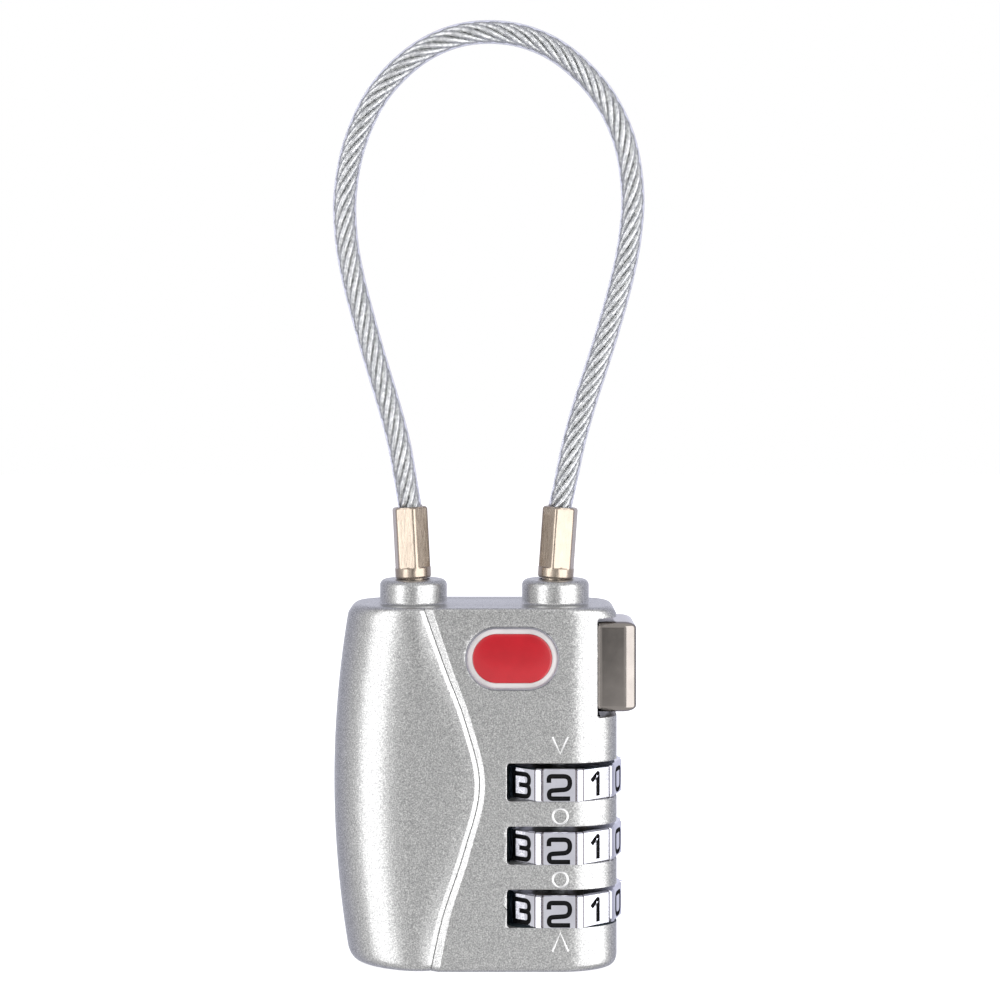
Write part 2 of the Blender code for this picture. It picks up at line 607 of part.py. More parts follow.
def cable():
    curve = bpy.data.curves.new("cable", "CURVE")
    curve.dimensions = "3D"
    curve.bevel_depth = CABLE_DIAMETER / 2
    curve.bevel_resolution = 2
    curve.use_fill_caps = True
    route = smooth_route(CABLE_ROUTE, CABLE_POINTS)
    spline = curve.splines.new("POLY")
    spline.points.add(len(route) - 1)
    for point, place in zip(spline.points, route):
        point.co = (*place, 1)
    solid_curve("cable", curve, "cable_sheath", Matrix.Identity(4))


clear_scene()
lock = new_collection("cable_luggage_lock")
cutters = new_collection("cutters")
windows = window_cutters()
notch = notch_cutter()
front_shell()
rear_cover()
badge_face = CASE_HALF_DEPTH - 0.1 * MM
badge_oval("badge_plate", 0.25 * MM, badge_face, badge_face - BADGE_THICKNESS, "badge_red")
dials_and_sleeves()
spindle()
springs()
release_button()
latch_slide()
ferrule("anchor_ferrule", 0, (-7.1 * MM, -5.7 * MM))
ferrule("lock_ferrule", 1, (-7.4 * MM, -5.8 * MM))
anchor_clip()
key_cylinder()
rear_fittings()
cable()
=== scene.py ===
"""The looks of the cable luggage lock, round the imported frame: casing, dials, button, badge and shackle.

The frame: +Z up along the cable, -Y the front, +X the side of the dials and the button.
Everything is in metres.
"""

import math

import bmesh
import bpy
import numpy as np
from mathutils import Matrix, Vector
from mathutils.geometry import interpolate_bezier

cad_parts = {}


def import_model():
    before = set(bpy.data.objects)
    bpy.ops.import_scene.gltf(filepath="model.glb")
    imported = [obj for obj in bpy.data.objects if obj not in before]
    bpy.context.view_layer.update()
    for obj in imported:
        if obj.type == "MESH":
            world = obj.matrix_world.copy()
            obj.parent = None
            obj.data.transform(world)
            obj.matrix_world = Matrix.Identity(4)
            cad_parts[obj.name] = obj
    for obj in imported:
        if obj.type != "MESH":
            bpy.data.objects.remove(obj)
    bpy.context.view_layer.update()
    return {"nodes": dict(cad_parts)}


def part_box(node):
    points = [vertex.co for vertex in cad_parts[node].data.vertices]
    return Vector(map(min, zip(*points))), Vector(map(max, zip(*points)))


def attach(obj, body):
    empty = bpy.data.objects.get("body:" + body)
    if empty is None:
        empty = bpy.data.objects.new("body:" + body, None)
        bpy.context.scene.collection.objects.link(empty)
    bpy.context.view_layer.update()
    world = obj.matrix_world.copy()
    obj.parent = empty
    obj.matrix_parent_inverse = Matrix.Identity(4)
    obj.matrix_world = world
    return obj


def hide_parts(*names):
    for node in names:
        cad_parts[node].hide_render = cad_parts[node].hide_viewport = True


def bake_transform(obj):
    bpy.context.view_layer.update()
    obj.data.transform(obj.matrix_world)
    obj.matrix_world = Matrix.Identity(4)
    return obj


MM = 0.001

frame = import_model()

# ---------------- places read from the frame

_, shell_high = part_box("front_shell")
_, cover_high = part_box("rear_cover")
button_low, button_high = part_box("release_button")
badge_low, badge_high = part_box("badge_plate")
core_low, core_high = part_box("cylinder_core")
reset_low, reset_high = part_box("reset_pin")
dial_boxes = [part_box(f"dial_{number}") for number in (1, 2, 3)]
rivet_boxes = [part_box(f"cover_rivet_{number}") for number in (1, 2, 3)]
BOTH_SIDES = (0, 1)

CASE_HALF_WIDTH = shell_high[0]
CASE_HALF_DEPTH = cover_high[1]
CASE_HEIGHT = cover_high[2]
BOSS_TOP = shell_high[2]
DIAL_X = (dial_boxes[0][0][0] + dial_boxes[0][1][0]) / 2
DIAL_Z = [(low[2] + high[2]) / 2 for low, high in dial_boxes]
DIAL_RADIUS = (dial_boxes[0][1][0] - dial_boxes[0][0][0]) / 2
DIAL_HEIGHT = dial_boxes[0][1][2] - dial_boxes[0][0][2]
CORE_X = (core_low[0] + core_high[0]) / 2

# ---------------- the casing's form

LEFT_BULGE = 1.7 * MM
LEFT_BULGE_Z = 20.0 * MM
RIGHT_CORNER = (5.4 * MM, 3.4 * MM)
FRONT_LEFT_CORNER = (8.6 * MM, 5.8 * MM)
REAR_LEFT_CORNER = (5.0 * MM, 3.6 * MM)
SEAM_Y = (4.31 * MM, 4.43 * MM)
# Each pair is how far an edge draws in, and over what height
LEFT_FOOT_ROUND = (1.3 * MM, 1.8 * MM)
RIGHT_FOOT_ROUND = (1.1 * MM, 1.5 * MM)
SIDE_TOP_ROUND = (1.2 * MM, 1.2 * MM)
DEPTH_FOOT_ROUND = (0.9 * MM, 0.9 * MM)
DEPTH_TOP_ROUND = (0.35 * MM, 0.35 * MM)
WALL_INNER_Y = -4.7 * MM
SHELF_Z = 24.2 * MM
WINDOW_LEFT = 3.5 * MM
WINDOW_HEIGHT = 4.08 * MM
WINDOW_LIFT = 0.25 * MM
WINDOW_ROUND = 0.35 * MM
DIAL_ROOM = 0.3 * MM
NOTCH_X = 13.3 * MM
NOTCH_Z = (27.4 * MM, 38.1 * MM)
NOTCH_ROUND = 0.3 * MM
EASED_WIDTH = 0.05 * MM
PAST_SIDES = 20 * MM
PAST_BACK = 10 * MM
BOSS_X = (-6.8 * MM, 8.9 * MM)
BOSS_LEAN = (math.radians(-3.0), math.radians(4.0))
BOSS_RADIUS = 3.7 * MM
BOSS_EDGE = 0.65 * MM
BOSS_FLARE = 0.32 * MM
PLUG_RADIUS = 1.5 * MM
RIVET_HOLE_RADIUS = 0.95 * MM
RIVET_SEAT_RADIUS = 1.6 * MM

# The S-shaped groove between the soft left panel and the flat right one: (height, x) in millimetres
GROOVE = ((0, -4.75), (6, -3.4), (13, -1.1), (20.2, 0.57), (27, -0.95), (33, -3.2), (39.3, -5.45))
# Each pair is a size at mid height, and the same at the top and bottom
GROOVE_DEPTH = (0.28 * MM, 0.50 * MM)
PANEL_BEVEL = (0.60 * MM, 0.90 * MM)
PILLOW_BEVEL = (0.50 * MM, 0.50 * MM)
PILLOW_BEVEL_DROP = 0.20 * MM
PILLOW_REACH = (2.4 * MM, 2.9 * MM)
SLIT_DEPTH = 0.12 * MM
SLIT_HALF_WIDTH = 0.06 * MM

# ---------------- the cable

# Its route from left to right: (x, height) in millimetres
CABLE_ROUTE = (
    (-7.25, 50.25), (-7.8, 53.5), (-8.5, 57.25), (-9.75, 61.85), (-11.1, 66.3), (-12.35, 70.75),
    (-13.5, 75.25), (-14.25, 79.7), (-14.35, 84.6), (-13.3, 90.05), (-10.85, 95.35), (-7.05, 99.4),
    (-2.85, 101.7), (1.55, 102.4), (6.05, 101.7), (10.25, 99.45), (14.15, 95.35), (16.55, 90.3),
    (17.45, 84.6), (17.15, 79.7), (16.3, 75.25), (15.1, 70.75), (13.75, 66.3), (12.25, 61.65), (11, 57.25),
    (10.2, 53.5), (9.5, 50.25),
)
CABLE_DIAMETER = 2.6 * MM
ROPE_DIAMETER = 1.95 * MM
STRANDS = 6
LAY_LENGTH = 10.0 * MM
IN_FERRULE = 0.8 * MM


# ================ small tools

def mesh_object(name, bm, *finishes):
    """A new object from a bmesh, with its faces turned outwards."""
    bmesh.ops.recalc_face_normals(bm, faces=bm.faces[:])
    mesh = bpy.data.meshes.new(name)
    bm.to_mesh(mesh)
    bm.free()
    for finish in finishes:
        mesh.materials.append(finish)
    obj = bpy.data.objects.new(name, mesh)
    bpy.context.scene.collection.objects.link(obj)
    return obj


def smooth(obj, angle):
    obj.data.shade_smooth()
    obj.data.set_sharp_from_angle(angle=math.radians(angle))
    return obj


def even(obj):
    """Flat faces look flat right up to the small rounds beside them."""
    weighted = obj.modifiers.new("Even normals", "WEIGHTED_NORMAL")
    weighted.keep_sharp = True
    return applied(obj)


def applied(obj):
    """The object's modifiers made part of its mesh."""
    bpy.context.view_layer.update()
    graph = bpy.context.evaluated_depsgraph_get()
    mesh = bpy.data.meshes.new_from_object(obj.evaluated_get(graph), depsgraph=graph)
    obj.modifiers.clear()
    obj.data = mesh
    return obj


def combined(obj, operation, others):
    """obj cut by the others or joined with them. Each keeps its own finish on the faces that it leaves."""
    for other in others:
        boolean = obj.modifiers.new(other.name, "BOOLEAN")
        boolean.operation = operation
        boolean.object = other
        boolean.solver = "MANIFOLD"
        boolean.material_mode = "TRANSFER"
    applied(obj)
    for other in others:
        bpy.data.objects.remove(other, do_unlink=True)
    return obj


def box(name, low, high, finish, round_by=0.0, segments=3):
    low, high = Vector(low), Vector(high)
    bm = bmesh.new()
    place = Matrix.Translation((low + high) / 2) @ Matrix.Diagonal((*(high - low), 1))
    bmesh.ops.create_cube(bm, size=1.0, matrix=place)
    if round_by:
        edges = bm.edges[:]
        bmesh.ops.bevel(bm, geom=edges, offset=round_by, segments=segments, profile=0.5, affect="EDGES")
    return mesh_object(name, bm, finish)


def lathe(name, profile, finish, place, steps):
    """A turned shape about Z: a profile of (radius, height) that starts and ends on the axis."""
    bm = bmesh.new()
    rings = []
    for radius, height in profile:
        if radius == 0:
            rings.append([bm.verts.new((0, 0, height))])
            continue
        turn = [2 * math.pi * i / steps for i in range(steps)]
        rings.append([bm.verts.new((radius * math.cos(a), radius * math.sin(a), height)) for a in turn])
    bridge(bm, rings)
    bmesh.ops.transform(bm, matrix=place, verts=bm.verts[:])
    return mesh_object(name, bm, finish)


def bridge(bm, rings):
    """Faces between each ring and the next; a ring of one point makes a fan."""
    for one, other in zip(rings, rings[1:]):
        count = max(len(one), len(other))
        for i in range(count):
            following = (i + 1) % count
            corners = [
                one[i % len(one)], one[following % len(one)],
                other[following % len(other)], other[i % len(other)],
            ]
            bm.faces.new(list(dict.fromkeys(corners)))


def rod(name, radius, bottom, top, finish, place, steps=48):
    return lathe(name, [(0, top), (radius, top), (radius, bottom), (0, bottom)], finish, place, steps)


def prism(name, outline, low, high, finish):
    """An outline of (x, z) made solid from y = low to y = high."""
    bm = bmesh.new()
    front = [bm.verts.new((x, low, z)) for x, z in outline]
    back = [bm.verts.new((x, high, z)) for x, z in outline]
    bm.faces.new(front)
    bm.faces.new(back)
    bridge(bm, [front, back])
    return mesh_object(name, bm, finish)


def centre(low, high):
    """The x and the height of a box's middle."""
    return (low[0] + high[0]) / 2, (low[2] + high[2]) / 2


def upright(x):
    return Matrix.Translation((x, 0, 0))


def at_boss(side):
    """From a ferrule's own upright frame to its leaning place on the boss."""
    return Matrix.Translation((BOSS_X[side], 0, BOSS_TOP)) @ Matrix.Rotation(BOSS_LEAN[side], 4, "Y")


def along_y(x, z):
    """From an upright frame to one whose Z runs backwards along +Y."""
    return Matrix.Translation((x, 0, z)) @ Matrix.Rotation(math.radians(-90), 4, "X")


def show(obj, body, slot, *nodes):
    """The piece rides on a body and stands for these CAD nodes. The slot is not used."""
    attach(obj, body)
    if nodes:
        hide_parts(*nodes)
    return obj


# ================ materials

def principled(name, colour, roughness, metallic=0.0, **more):
    """A new material: (material, its node tree, its shader)."""
    made = bpy.data.materials.new(name)
    made.use_nodes = True
    tree = made.node_tree
    shader = tree.nodes["Principled BSDF"]
    shader.inputs["Base Color"].default_value = (*colour, 1)
    shader.inputs["Roughness"].default_value = roughness
    shader.inputs["Metallic"].default_value = metallic
    for name_of_input, value in more.items():
        shader.inputs[name_of_input.replace("_", " ")].default_value = value
    return made, tree, shader


def place_of(tree):
    """The point on the piece, in its own frame."""
    return tree.nodes.new("ShaderNodeTexCoord").outputs["Object"]


def noise(tree, per_metre, detail, stretch=(1, 1, 1)):
    mapping = tree.nodes.new("ShaderNodeMapping")
    mapping.inputs["Scale"].default_value = stretch
    tree.links.new(place_of(tree), mapping.inputs["Vector"])
    made = tree.nodes.new("ShaderNodeTexNoise")
    made.inputs["Scale"].default_value = per_metre
    made.inputs["Detail"].default_value = detail
    tree.links.new(mapping.outputs["Vector"], made.inputs["Vector"])
    return made.outputs[0]


def ramp(tree, value, stops):
    """A colour ramp of (position, grey or colour)."""
    made = tree.nodes.new("ShaderNodeValToRGB")
    elements = made.color_ramp.elements
    while len(elements) < len(stops):
        elements.new(0.5)
    for element, (position, colour) in zip(elements, stops):
        element.position = position
        element.color = (*((colour,) * 3 if isinstance(colour, (int, float)) else colour), 1)
    tree.links.new(value, made.inputs["Fac"])
    return made.outputs["Color"]


def vary(tree, shader, socket, value, stops):
    """One of the shader's inputs follows a value through a ramp."""
    tree.links.new(ramp(tree, value, stops), shader.inputs[socket])


def bump(tree, shader, height, strength, distance):
    made = tree.nodes.new("ShaderNodeBump")
    made.inputs["Strength"].default_value = strength
    made.inputs["Distance"].default_value = distance
    tree.links.new(height, made.inputs["Height"])
    if shader.inputs["Normal"].links:
        tree.links.new(shader.inputs["Normal"].links[0].from_socket, made.inputs["Normal"])
    tree.links.new(made.outputs["Normal"], shader.inputs["Normal"])


def silver_paint():
    """Satin silver paint: fine bright and dark flakes over an even coat with a faint orange peel."""
    made, tree, shader = principled("silver_paint", (0.44, 0.44, 0.44), 0.3, 0.9)
    flakes = noise(tree, 7500, 3.0)
    vary(tree, shader, "Base Color", flakes, [
        (0.30, (0.27, 0.27, 0.273)), (0.5, (0.45, 0.45, 0.45)), (0.72, (0.74, 0.74, 0.73)),
    ])
    vary(tree, shader, "Roughness", noise(tree, 4100, 2.0), [(0.3, 0.27), (0.7, 0.33)])
    bump(tree, shader, flakes, 0.10, 0.05 * MM)
    bump(tree, shader, noise(tree, 700, 2.0), 0.05, 0.2 * MM)
    return made


def painted_interior_shade():
    """Painted shade: the inside of the casing, near black with a teal tint where its rooms, bores and cuts
    lie in shade, mottled at random.
    """
    made, tree, shader = principled("casing_inside_shade", (0.02, 0.03, 0.036), 0.5, 0.3)
    # A random mottle in the painted shade.
    shade_mottle = noise(tree, 900, 4.0)
    vary(tree, shader, "Base Color", shade_mottle, [(0.35, (0.006, 0.013, 0.017)), (0.7, (0.022, 0.04, 0.05))])
    bump(tree, shader, noise(tree, 1500, 3.0), 0.2, 0.1 * MM)
    return made


def plated(name, colour, roughness, streaks, stretch):
    """Bright plate with faint polishing streaks and small blemishes."""
    made, tree, shader = principled(name, colour, roughness, 1.0)
    worn = noise(tree, 450, 5.0)
    vary(tree, shader, "Base Color", worn, [(0.35, tuple(0.86 * c for c in colour)), (0.7, colour)])
    fine = noise(tree, 900, 3.0, stretch)
    vary(tree, shader, "Roughness", fine, [(0.3, roughness * 0.75), (0.75, roughness * 1.6)])
    bump(tree, shader, fine, streaks, 0.02 * MM)
    return made


def digit_paint():
    """Dull black, for the cut digits."""
    made, tree, shader = principled("digit_black", (0.004, 0.004, 0.005), 0.6, Specular_IOR_Level=0.15)
    mottle = noise(tree, 2500, 3.0)
    vary(tree, shader, "Base Color", mottle, [(0.3, (0.001, 0.001, 0.002)), (0.75, (0.007, 0.007, 0.008))])
    bump(tree, shader, noise(tree, 1800, 2.0), 0.15, 0.03 * MM)
    return made


def machined(name, colour, roughness):
    """Turned or stamped metal inside the lock, with tool marks."""
    made, tree, shader = principled(name, colour, roughness, 1.0)
    marks = noise(tree, 1200, 4.0, (1, 1, 7))
    vary(tree, shader, "Base Color", marks, [(0.3, tuple(0.7 * c for c in colour)), (0.7, colour)])
    vary(tree, shader, "Roughness", marks, [(0.3, roughness * 0.8), (0.7, roughness * 1.4)])
    bump(tree, shader, marks, 0.15, 0.05 * MM)
    return made


def rope_wire():
    """Galvanised wire, bright with greyer, duller spots."""
    made, tree, shader = principled("rope_wire", (0.60, 0.61, 0.60), 0.45, 1.0)
    spots = noise(tree, 2600, 4.0)
    vary(tree, shader, "Base Color", spots, [
        (0.3, (0.42, 0.43, 0.43)), (0.5, (0.60, 0.61, 0.60)), (0.72, (0.82, 0.82, 0.80)),
    ])
    vary(tree, shader, "Roughness", spots, [(0.3, 0.55), (0.7, 0.36)])
    bump(tree, shader, spots, 0.3, 0.05 * MM)
    return made


def clear_sheath():
    """Clear vinyl with a faint lilac tint and a slightly uneven skin."""
    tint = (0.93, 0.93, 0.97)
    made, tree, shader = principled("clear_vinyl", tint, 0.12, 0.0, Transmission_Weight=1.0, IOR=1.18)
    vary(tree, shader, "Roughness", noise(tree, 500, 3.0), [(0.3, 0.07), (0.75, 0.2)])
    bump(tree, shader, noise(tree, 350, 2.0), 0.06, 0.2 * MM)
    return made


def enamel(name, colour):
    """Glossy enamel with a slight depth of colour."""
    made, tree, shader = principled(name, colour, 0.16, 0.0, Coat_Weight=0.25, Coat_Roughness=0.05)
    cloud = noise(tree, 260, 3.0)
    vary(tree, shader, "Base Color", cloud, [(0.3, tuple(0.78 * c for c in colour)), (0.7, colour)])
    bump(tree, shader, noise(tree, 420, 2.0), 0.05, 0.1 * MM)
    return made


PAINT = silver_paint()
# Painted shade: the near-black inside finish left by the cuts in the casing, the dial rooms, the bores and
# the keyway.
INSIDE_SHADE = painted_interior_shade()
CHROME = plated("dial_chrome", (0.78, 0.78, 0.86), 0.07, 0.05, (1, 1, 6))
NICKEL = plated("button_nickel", (0.34, 0.31, 0.29), 0.09, 0.06, (1, 8, 1))
GROOVE_SHADE = plated("dial_groove", (0.13, 0.12, 0.13), 0.25, 0.05, (1, 1, 6))
INDEX_SILVER = plated("index_silver", (0.80, 0.80, 0.80), 0.36, 0.05, (1, 1, 1))
CRIMP = plated("ferrule_nickel", (0.48, 0.405, 0.335), 0.22, 0.6, (5, 5, 1))
BLACK = digit_paint()
STEEL = machined("bright_steel", (0.55, 0.56, 0.58), 0.32)
BRASS = machined("cut_brass", (0.72, 0.53, 0.24), 0.28)
WIRE = rope_wire()
VINYL = clear_sheath()
RED = enamel("badge_red", (0.42, 0.010, 0.018))
PALE = enamel("badge_pale", (0.55, 0.52, 0.52))


# ================ casing

def between(knots, at):
    """A smooth curve of cubic pieces through knots of (position, value), read at a position."""
    places = [p for p, _ in knots]
    values = [v for _, v in knots]
    last = len(knots) - 1
    i = max(0, min(last - 1, sum(p <= at for p in places) - 1))

    def slope(j):
        low, high = max(j - 1, 0), min(j + 1, last)
        return (values[high] - values[low]) / (places[high] - places[low])

    width = places[i + 1] - places[i]
    t = (at - places[i]) / width
    return (
        (2 * t**3 - 3 * t**2 + 1) * values[i]
        + (t**3 - 2 * t**2 + t) * width * slope(i)
        + (3 * t**2 - 2 * t**3) * values[i + 1]
        + (t**3 - t**2) * width * slope(i + 1)
    )


def rounding(from_end, inset, height):
    """How far an edge has drawn in at this distance from its end, along a quarter ellipse."""
    if from_end >= height:
        return 0.0
    return inset * (1 - math.sqrt(max(0.0, 1 - (1 - from_end / height) ** 2)))


def case_edges(z):
    """The casing's left and right edge and its half depth at height z."""
    over, under = CASE_HEIGHT - z, z
    bulge = LEFT_BULGE * ((z - LEFT_BULGE_Z) / (CASE_HEIGHT - LEFT_BULGE_Z)) ** 2
    left = -CASE_HALF_WIDTH + bulge + rounding(under, *LEFT_FOOT_ROUND) + rounding(over, *SIDE_TOP_ROUND)
    right = CASE_HALF_WIDTH - rounding(under, *RIGHT_FOOT_ROUND) - rounding(over, *SIDE_TOP_ROUND)
    depth = CASE_HALF_DEPTH - rounding(under, *DEPTH_FOOT_ROUND) - rounding(over, *DEPTH_TOP_ROUND)
    return left, right, depth


def quarter(distance, reach):
    """How much of a corner's depth is left at this distance from where the corner starts."""
    return math.sqrt(max(0.0, 1 - min(1.0, distance / reach) ** 2))


def sunk(offset, towards_ends):
    """How far the front lies below its plane, this far from the groove: bevel, slit and soft pillow."""
    sizes = (GROOVE_DEPTH, PANEL_BEVEL, PILLOW_BEVEL, PILLOW_REACH)
    depth, bevel, left_bevel, reach = (low + (high - low) * towards_ends for low, high in sizes)
    slit = SLIT_DEPTH * max(0.0, 1 - abs(offset) / SLIT_HALF_WIDTH)
    if offset >= 0:
        return depth * max(0.0, 1 - offset / bevel) + slit
    if offset > -left_bevel:
        return depth + PILLOW_BEVEL_DROP * offset / left_bevel + slit
    return (depth - PILLOW_BEVEL_DROP) * max(0.0, 1 + (offset + left_bevel) / reach) ** 2


def front_columns(left, right, groove, bevel):
    """The x places across the front: close together at both edges and at the groove."""
    near = SLIT_HALF_WIDTH
    steps = 44
    pillow_end = groove - PILLOW_BEVEL[0] * 1.3
    xs = [left + (pillow_end - left) * (1 - math.cos(math.pi / 2 * i / steps)) for i in range(steps)]
    xs += [groove - PILLOW_BEVEL[0] * share for share in (1.3, 1.12, 1.0, 0.9, 0.6, 0.3)]
    xs += [groove - near, groove, groove + near]
    xs += [groove + bevel * share for share in (0.35, 0.65, 0.9, 1.0, 1.12)]
    start = groove + bevel * 1.35
    xs += [start + (right - start) * math.sin(math.pi / 2 * i / steps) for i in range(steps + 1)]
    return xs


def case_section(z):
    """The casing's outline at height z, as points round it from the left edge over the front."""
    left, right, depth = case_edges(z)
    groove = between(GROOVE, z / MM) * MM
    towards_ends = min(1.0, abs(z - LEFT_BULGE_Z) / (CASE_HEIGHT - LEFT_BULGE_Z)) ** 1.5
    bevel = PANEL_BEVEL[0] + (PANEL_BEVEL[1] - PANEL_BEVEL[0]) * towards_ends
    points = []
    for x in front_columns(left, right, groove, bevel):
        y = depth
        if x < left + FRONT_LEFT_CORNER[0]:
            y -= FRONT_LEFT_CORNER[1] * (1 - quarter(left + FRONT_LEFT_CORNER[0] - x, FRONT_LEFT_CORNER[0]))
        if x > right - RIGHT_CORNER[0]:
            y -= RIGHT_CORNER[1] * (1 - quarter(x - right + RIGHT_CORNER[0], RIGHT_CORNER[0]))
        points.append((x, -y + sunk(x - groove, towards_ends), z))
    for share in (0.33, 0.67):
        points.append((right, (depth - RIGHT_CORNER[1]) * (2 * share - 1), z))
    for i in range(11):
        angle = math.radians(9 * i)
        x = right - RIGHT_CORNER[0] * (1 - math.cos(angle))
        points.append((x, depth - RIGHT_CORNER[1] * (1 - math.sin(angle)), z))
    start, stop = right - RIGHT_CORNER[0], left + REAR_LEFT_CORNER[0]
    points += [(start + (stop - start) * i / 12, depth, z) for i in range(1, 12)]
    for i in range(13):
        angle = math.radians(90 + 7.5 * i)
        x = left + REAR_LEFT_CORNER[0] * (1 + math.cos(angle))
        points.append((x, depth - REAR_LEFT_CORNER[1] * (1 - math.sin(angle)), z))
    side = depth - REAR_LEFT_CORNER[1]
    nose = -(depth - FRONT_LEFT_CORNER[1])
    points += [(left, side + (nose - side) * i / 4, z) for i in range(1, 4)]
    return points


def case_heights():
    """The heights of the casing's rings, close together at the foot and the top."""
    low, high = LEFT_FOOT_ROUND[1], CASE_HEIGHT - SIDE_TOP_ROUND[1]
    rows = [low * (1 - math.cos(math.pi / 2 * i / 14)) for i in range(14)]
    rows += [low + (high - low) * i / 70 for i in range(71)]
    rows += [high + (CASE_HEIGHT - high) * math.sin(math.pi / 2 * i / 14) for i in range(1, 15)]
    return rows


def case_blank(name):
    bm = bmesh.new()
    rings = [[bm.verts.new(point) for point in case_section(z)] for z in case_heights()]
    bridge(bm, rings)
    bm.faces.new(rings[0])
    bm.faces.new(rings[-1])
    return mesh_object(name, bm, PAINT)


def window_cutters():
    reach = CASE_HALF_DEPTH + MM
    half = WINDOW_HEIGHT / 2
    found = []
    for dial_z in DIAL_Z:
        z = dial_z + WINDOW_LIFT
        low, high = (WINDOW_LEFT, -reach, z - half), (CASE_HALF_WIDTH + MM, reach, z + half)
        found.append(box("window", low, high, PAINT, WINDOW_ROUND, 4))
        radius = DIAL_RADIUS + DIAL_ROOM
        found.append(rod("dial_room", radius, z - half, z + half, INSIDE_SHADE, upright(DIAL_X), 96))
    return found


def notch_cutter():
    reach = CASE_HALF_DEPTH + MM
    low, high = (NOTCH_X, -reach, NOTCH_Z[0]), (CASE_HALF_WIDTH + MM, reach, NOTCH_Z[1])
    return box("notch", low, high, PAINT, NOTCH_ROUND, 4)


def eased(obj):
    """Every sharp edge that a cut left gets a small round, as on a casting after painting."""
    bevel = obj.modifiers.new("Eased edges", "BEVEL")
    bevel.limit_method = "ANGLE"
    bevel.angle_limit = math.radians(50)
    bevel.width = EASED_WIDTH
    bevel.segments = 2
    bevel.use_clamp_overlap = False
    bevel.harden_normals = False
    return applied(obj)


def boss(side):
    """A round boss with a soft top edge and a flared foot that runs down into the casing."""
    profile = [(0, BOSS_TOP)]
    for i in range(7):
        angle = math.radians(90 - 15 * i)
        radius = BOSS_RADIUS - BOSS_EDGE + BOSS_EDGE * math.cos(angle)
        profile.append((radius, BOSS_TOP - BOSS_EDGE + BOSS_EDGE * math.sin(angle)))
    foot = CASE_HEIGHT + BOSS_FLARE
    for i in range(5):
        angle = math.radians(22.5 * i)
        radius = BOSS_RADIUS + BOSS_FLARE * (1 - math.cos(angle))
        profile.append((radius, foot - BOSS_FLARE * math.sin(angle)))
    root = CASE_HEIGHT - 0.7 * MM
    profile += [(BOSS_RADIUS + 0.3 * MM, root), (0, root)]
    return lathe("boss", profile, PAINT, upright(BOSS_X[side]), 72)


def mechanism_cutters():
    """The rooms and bores inside the front casting. The rooms' ends past the back share no plane."""
    rooms = (
        ("behind", (-PAST_SIDES, SEAM_Y[0], -MM), (PAST_SIDES, PAST_BACK, CASE_HEIGHT + MM)),
        ("mechanism", (-9.6 * MM, WALL_INNER_Y, SHELF_Z), (13.6 * MM, PAST_BACK + MM, 37.6 * MM)),
        ("button_room", (10.2 * MM, WALL_INNER_Y + 0.05 * MM, 26.2 * MM),
         (13.45 * MM, PAST_BACK + 2 * MM, 38.0 * MM)),
        ("cylinder_room", (-11 * MM, 0, 1.8 * MM), (-4.6 * MM, PAST_BACK + 3 * MM, SHELF_Z + MM)),
        ("detent_room", (0.3 * MM, -2 * MM, 3.5 * MM), (WINDOW_LEFT + MM, 2 * MM, 23 * MM)),
    )
    found = [box(name, low, high, INSIDE_SHADE) for name, low, high in rooms]
    bores = (
        ("barrel_bore", 4.15 * MM, 1.7 * MM, SHELF_Z + 0.5 * MM, CORE_X, 48),
        ("core_bore", 3.4 * MM, -MM, 2.7 * MM, CORE_X, 72),
        ("spindle_bore", 1.5 * MM, 2 * MM, SHELF_Z + MM, DIAL_X, 24),
    )
    for name, radius, bottom, top, x, steps in bores:
        found.append(rod(name, radius, bottom, top, INSIDE_SHADE, upright(x), steps))
    fin_low, fin_high = (DIAL_X - 3.1 * MM, -0.75 * MM, DIAL_Z[0]), (DIAL_X, 0.75 * MM, SHELF_Z + 0.9 * MM)
    found.append(box("fin_slot", fin_low, fin_high, INSIDE_SHADE))
    for side in BOTH_SIDES:
        found.append(rod("boss_bore", PLUG_RADIUS + 0.3 * MM, -7 * MM, MM, INSIDE_SHADE, at_boss(side), 40))
    return found


def front_casing():
    casing = case_blank("casing_front")
    combined(casing, "UNION", [boss(side) for side in BOTH_SIDES])
    cutters = mechanism_cutters()
    cutters += window_cutters()
    cutters.append(notch_cutter())
    for low, high in rivet_boxes:
        place = along_y(*centre(low, high))
        cutters.append(rod("rivet_hole", RIVET_HOLE_RADIUS, 0.3 * MM, PAST_BACK, INSIDE_SHADE, place, 24))
    cutters.append(badge_recess())
    combined(casing, "DIFFERENCE", cutters)
    smooth(eased(casing), 38)
    return show(casing, "housing", "silver_paint", "front_shell")


def rear_casing():
    casing = case_blank("casing_back")
    past_corner = (PAST_SIDES, SEAM_Y[1], CASE_HEIGHT + MM)
    cutters = [box("before", (-PAST_SIDES, -PAST_BACK, -MM), past_corner, INSIDE_SHADE)]
    cutters += window_cutters()
    cutters.append(notch_cutter())
    for low, high in rivet_boxes:
        place = along_y(*centre(low, high))
        cutters.append(rod("rivet_hole", RIVET_HOLE_RADIUS, 0, PAST_BACK, INSIDE_SHADE, place, 24))
        seat, mouth = CASE_HALF_DEPTH - 1.2 * MM, CASE_HALF_DEPTH + MM
        cutters.append(rod("rivet_seat", RIVET_SEAT_RADIUS, seat, mouth, PAINT, place, 48))
    place = along_y(*centre(reset_low, reset_high))
    cutters.append(rod("reset_hole", 1.15 * MM, 3 * MM, 8 * MM, INSIDE_SHADE, place, 48))
    combined(casing, "DIFFERENCE", cutters)
    smooth(eased(casing), 38)
    return show(casing, "housing", "silver_paint", "rear_cover")


# ================ badge

BADGE_X, BADGE_Z = centre(badge_low, badge_high)
BADGE_WIDTH = badge_high[0] - badge_low[0]
BADGE_HEIGHT = badge_high[2] - badge_low[2]
OVAL_POINTS = 96


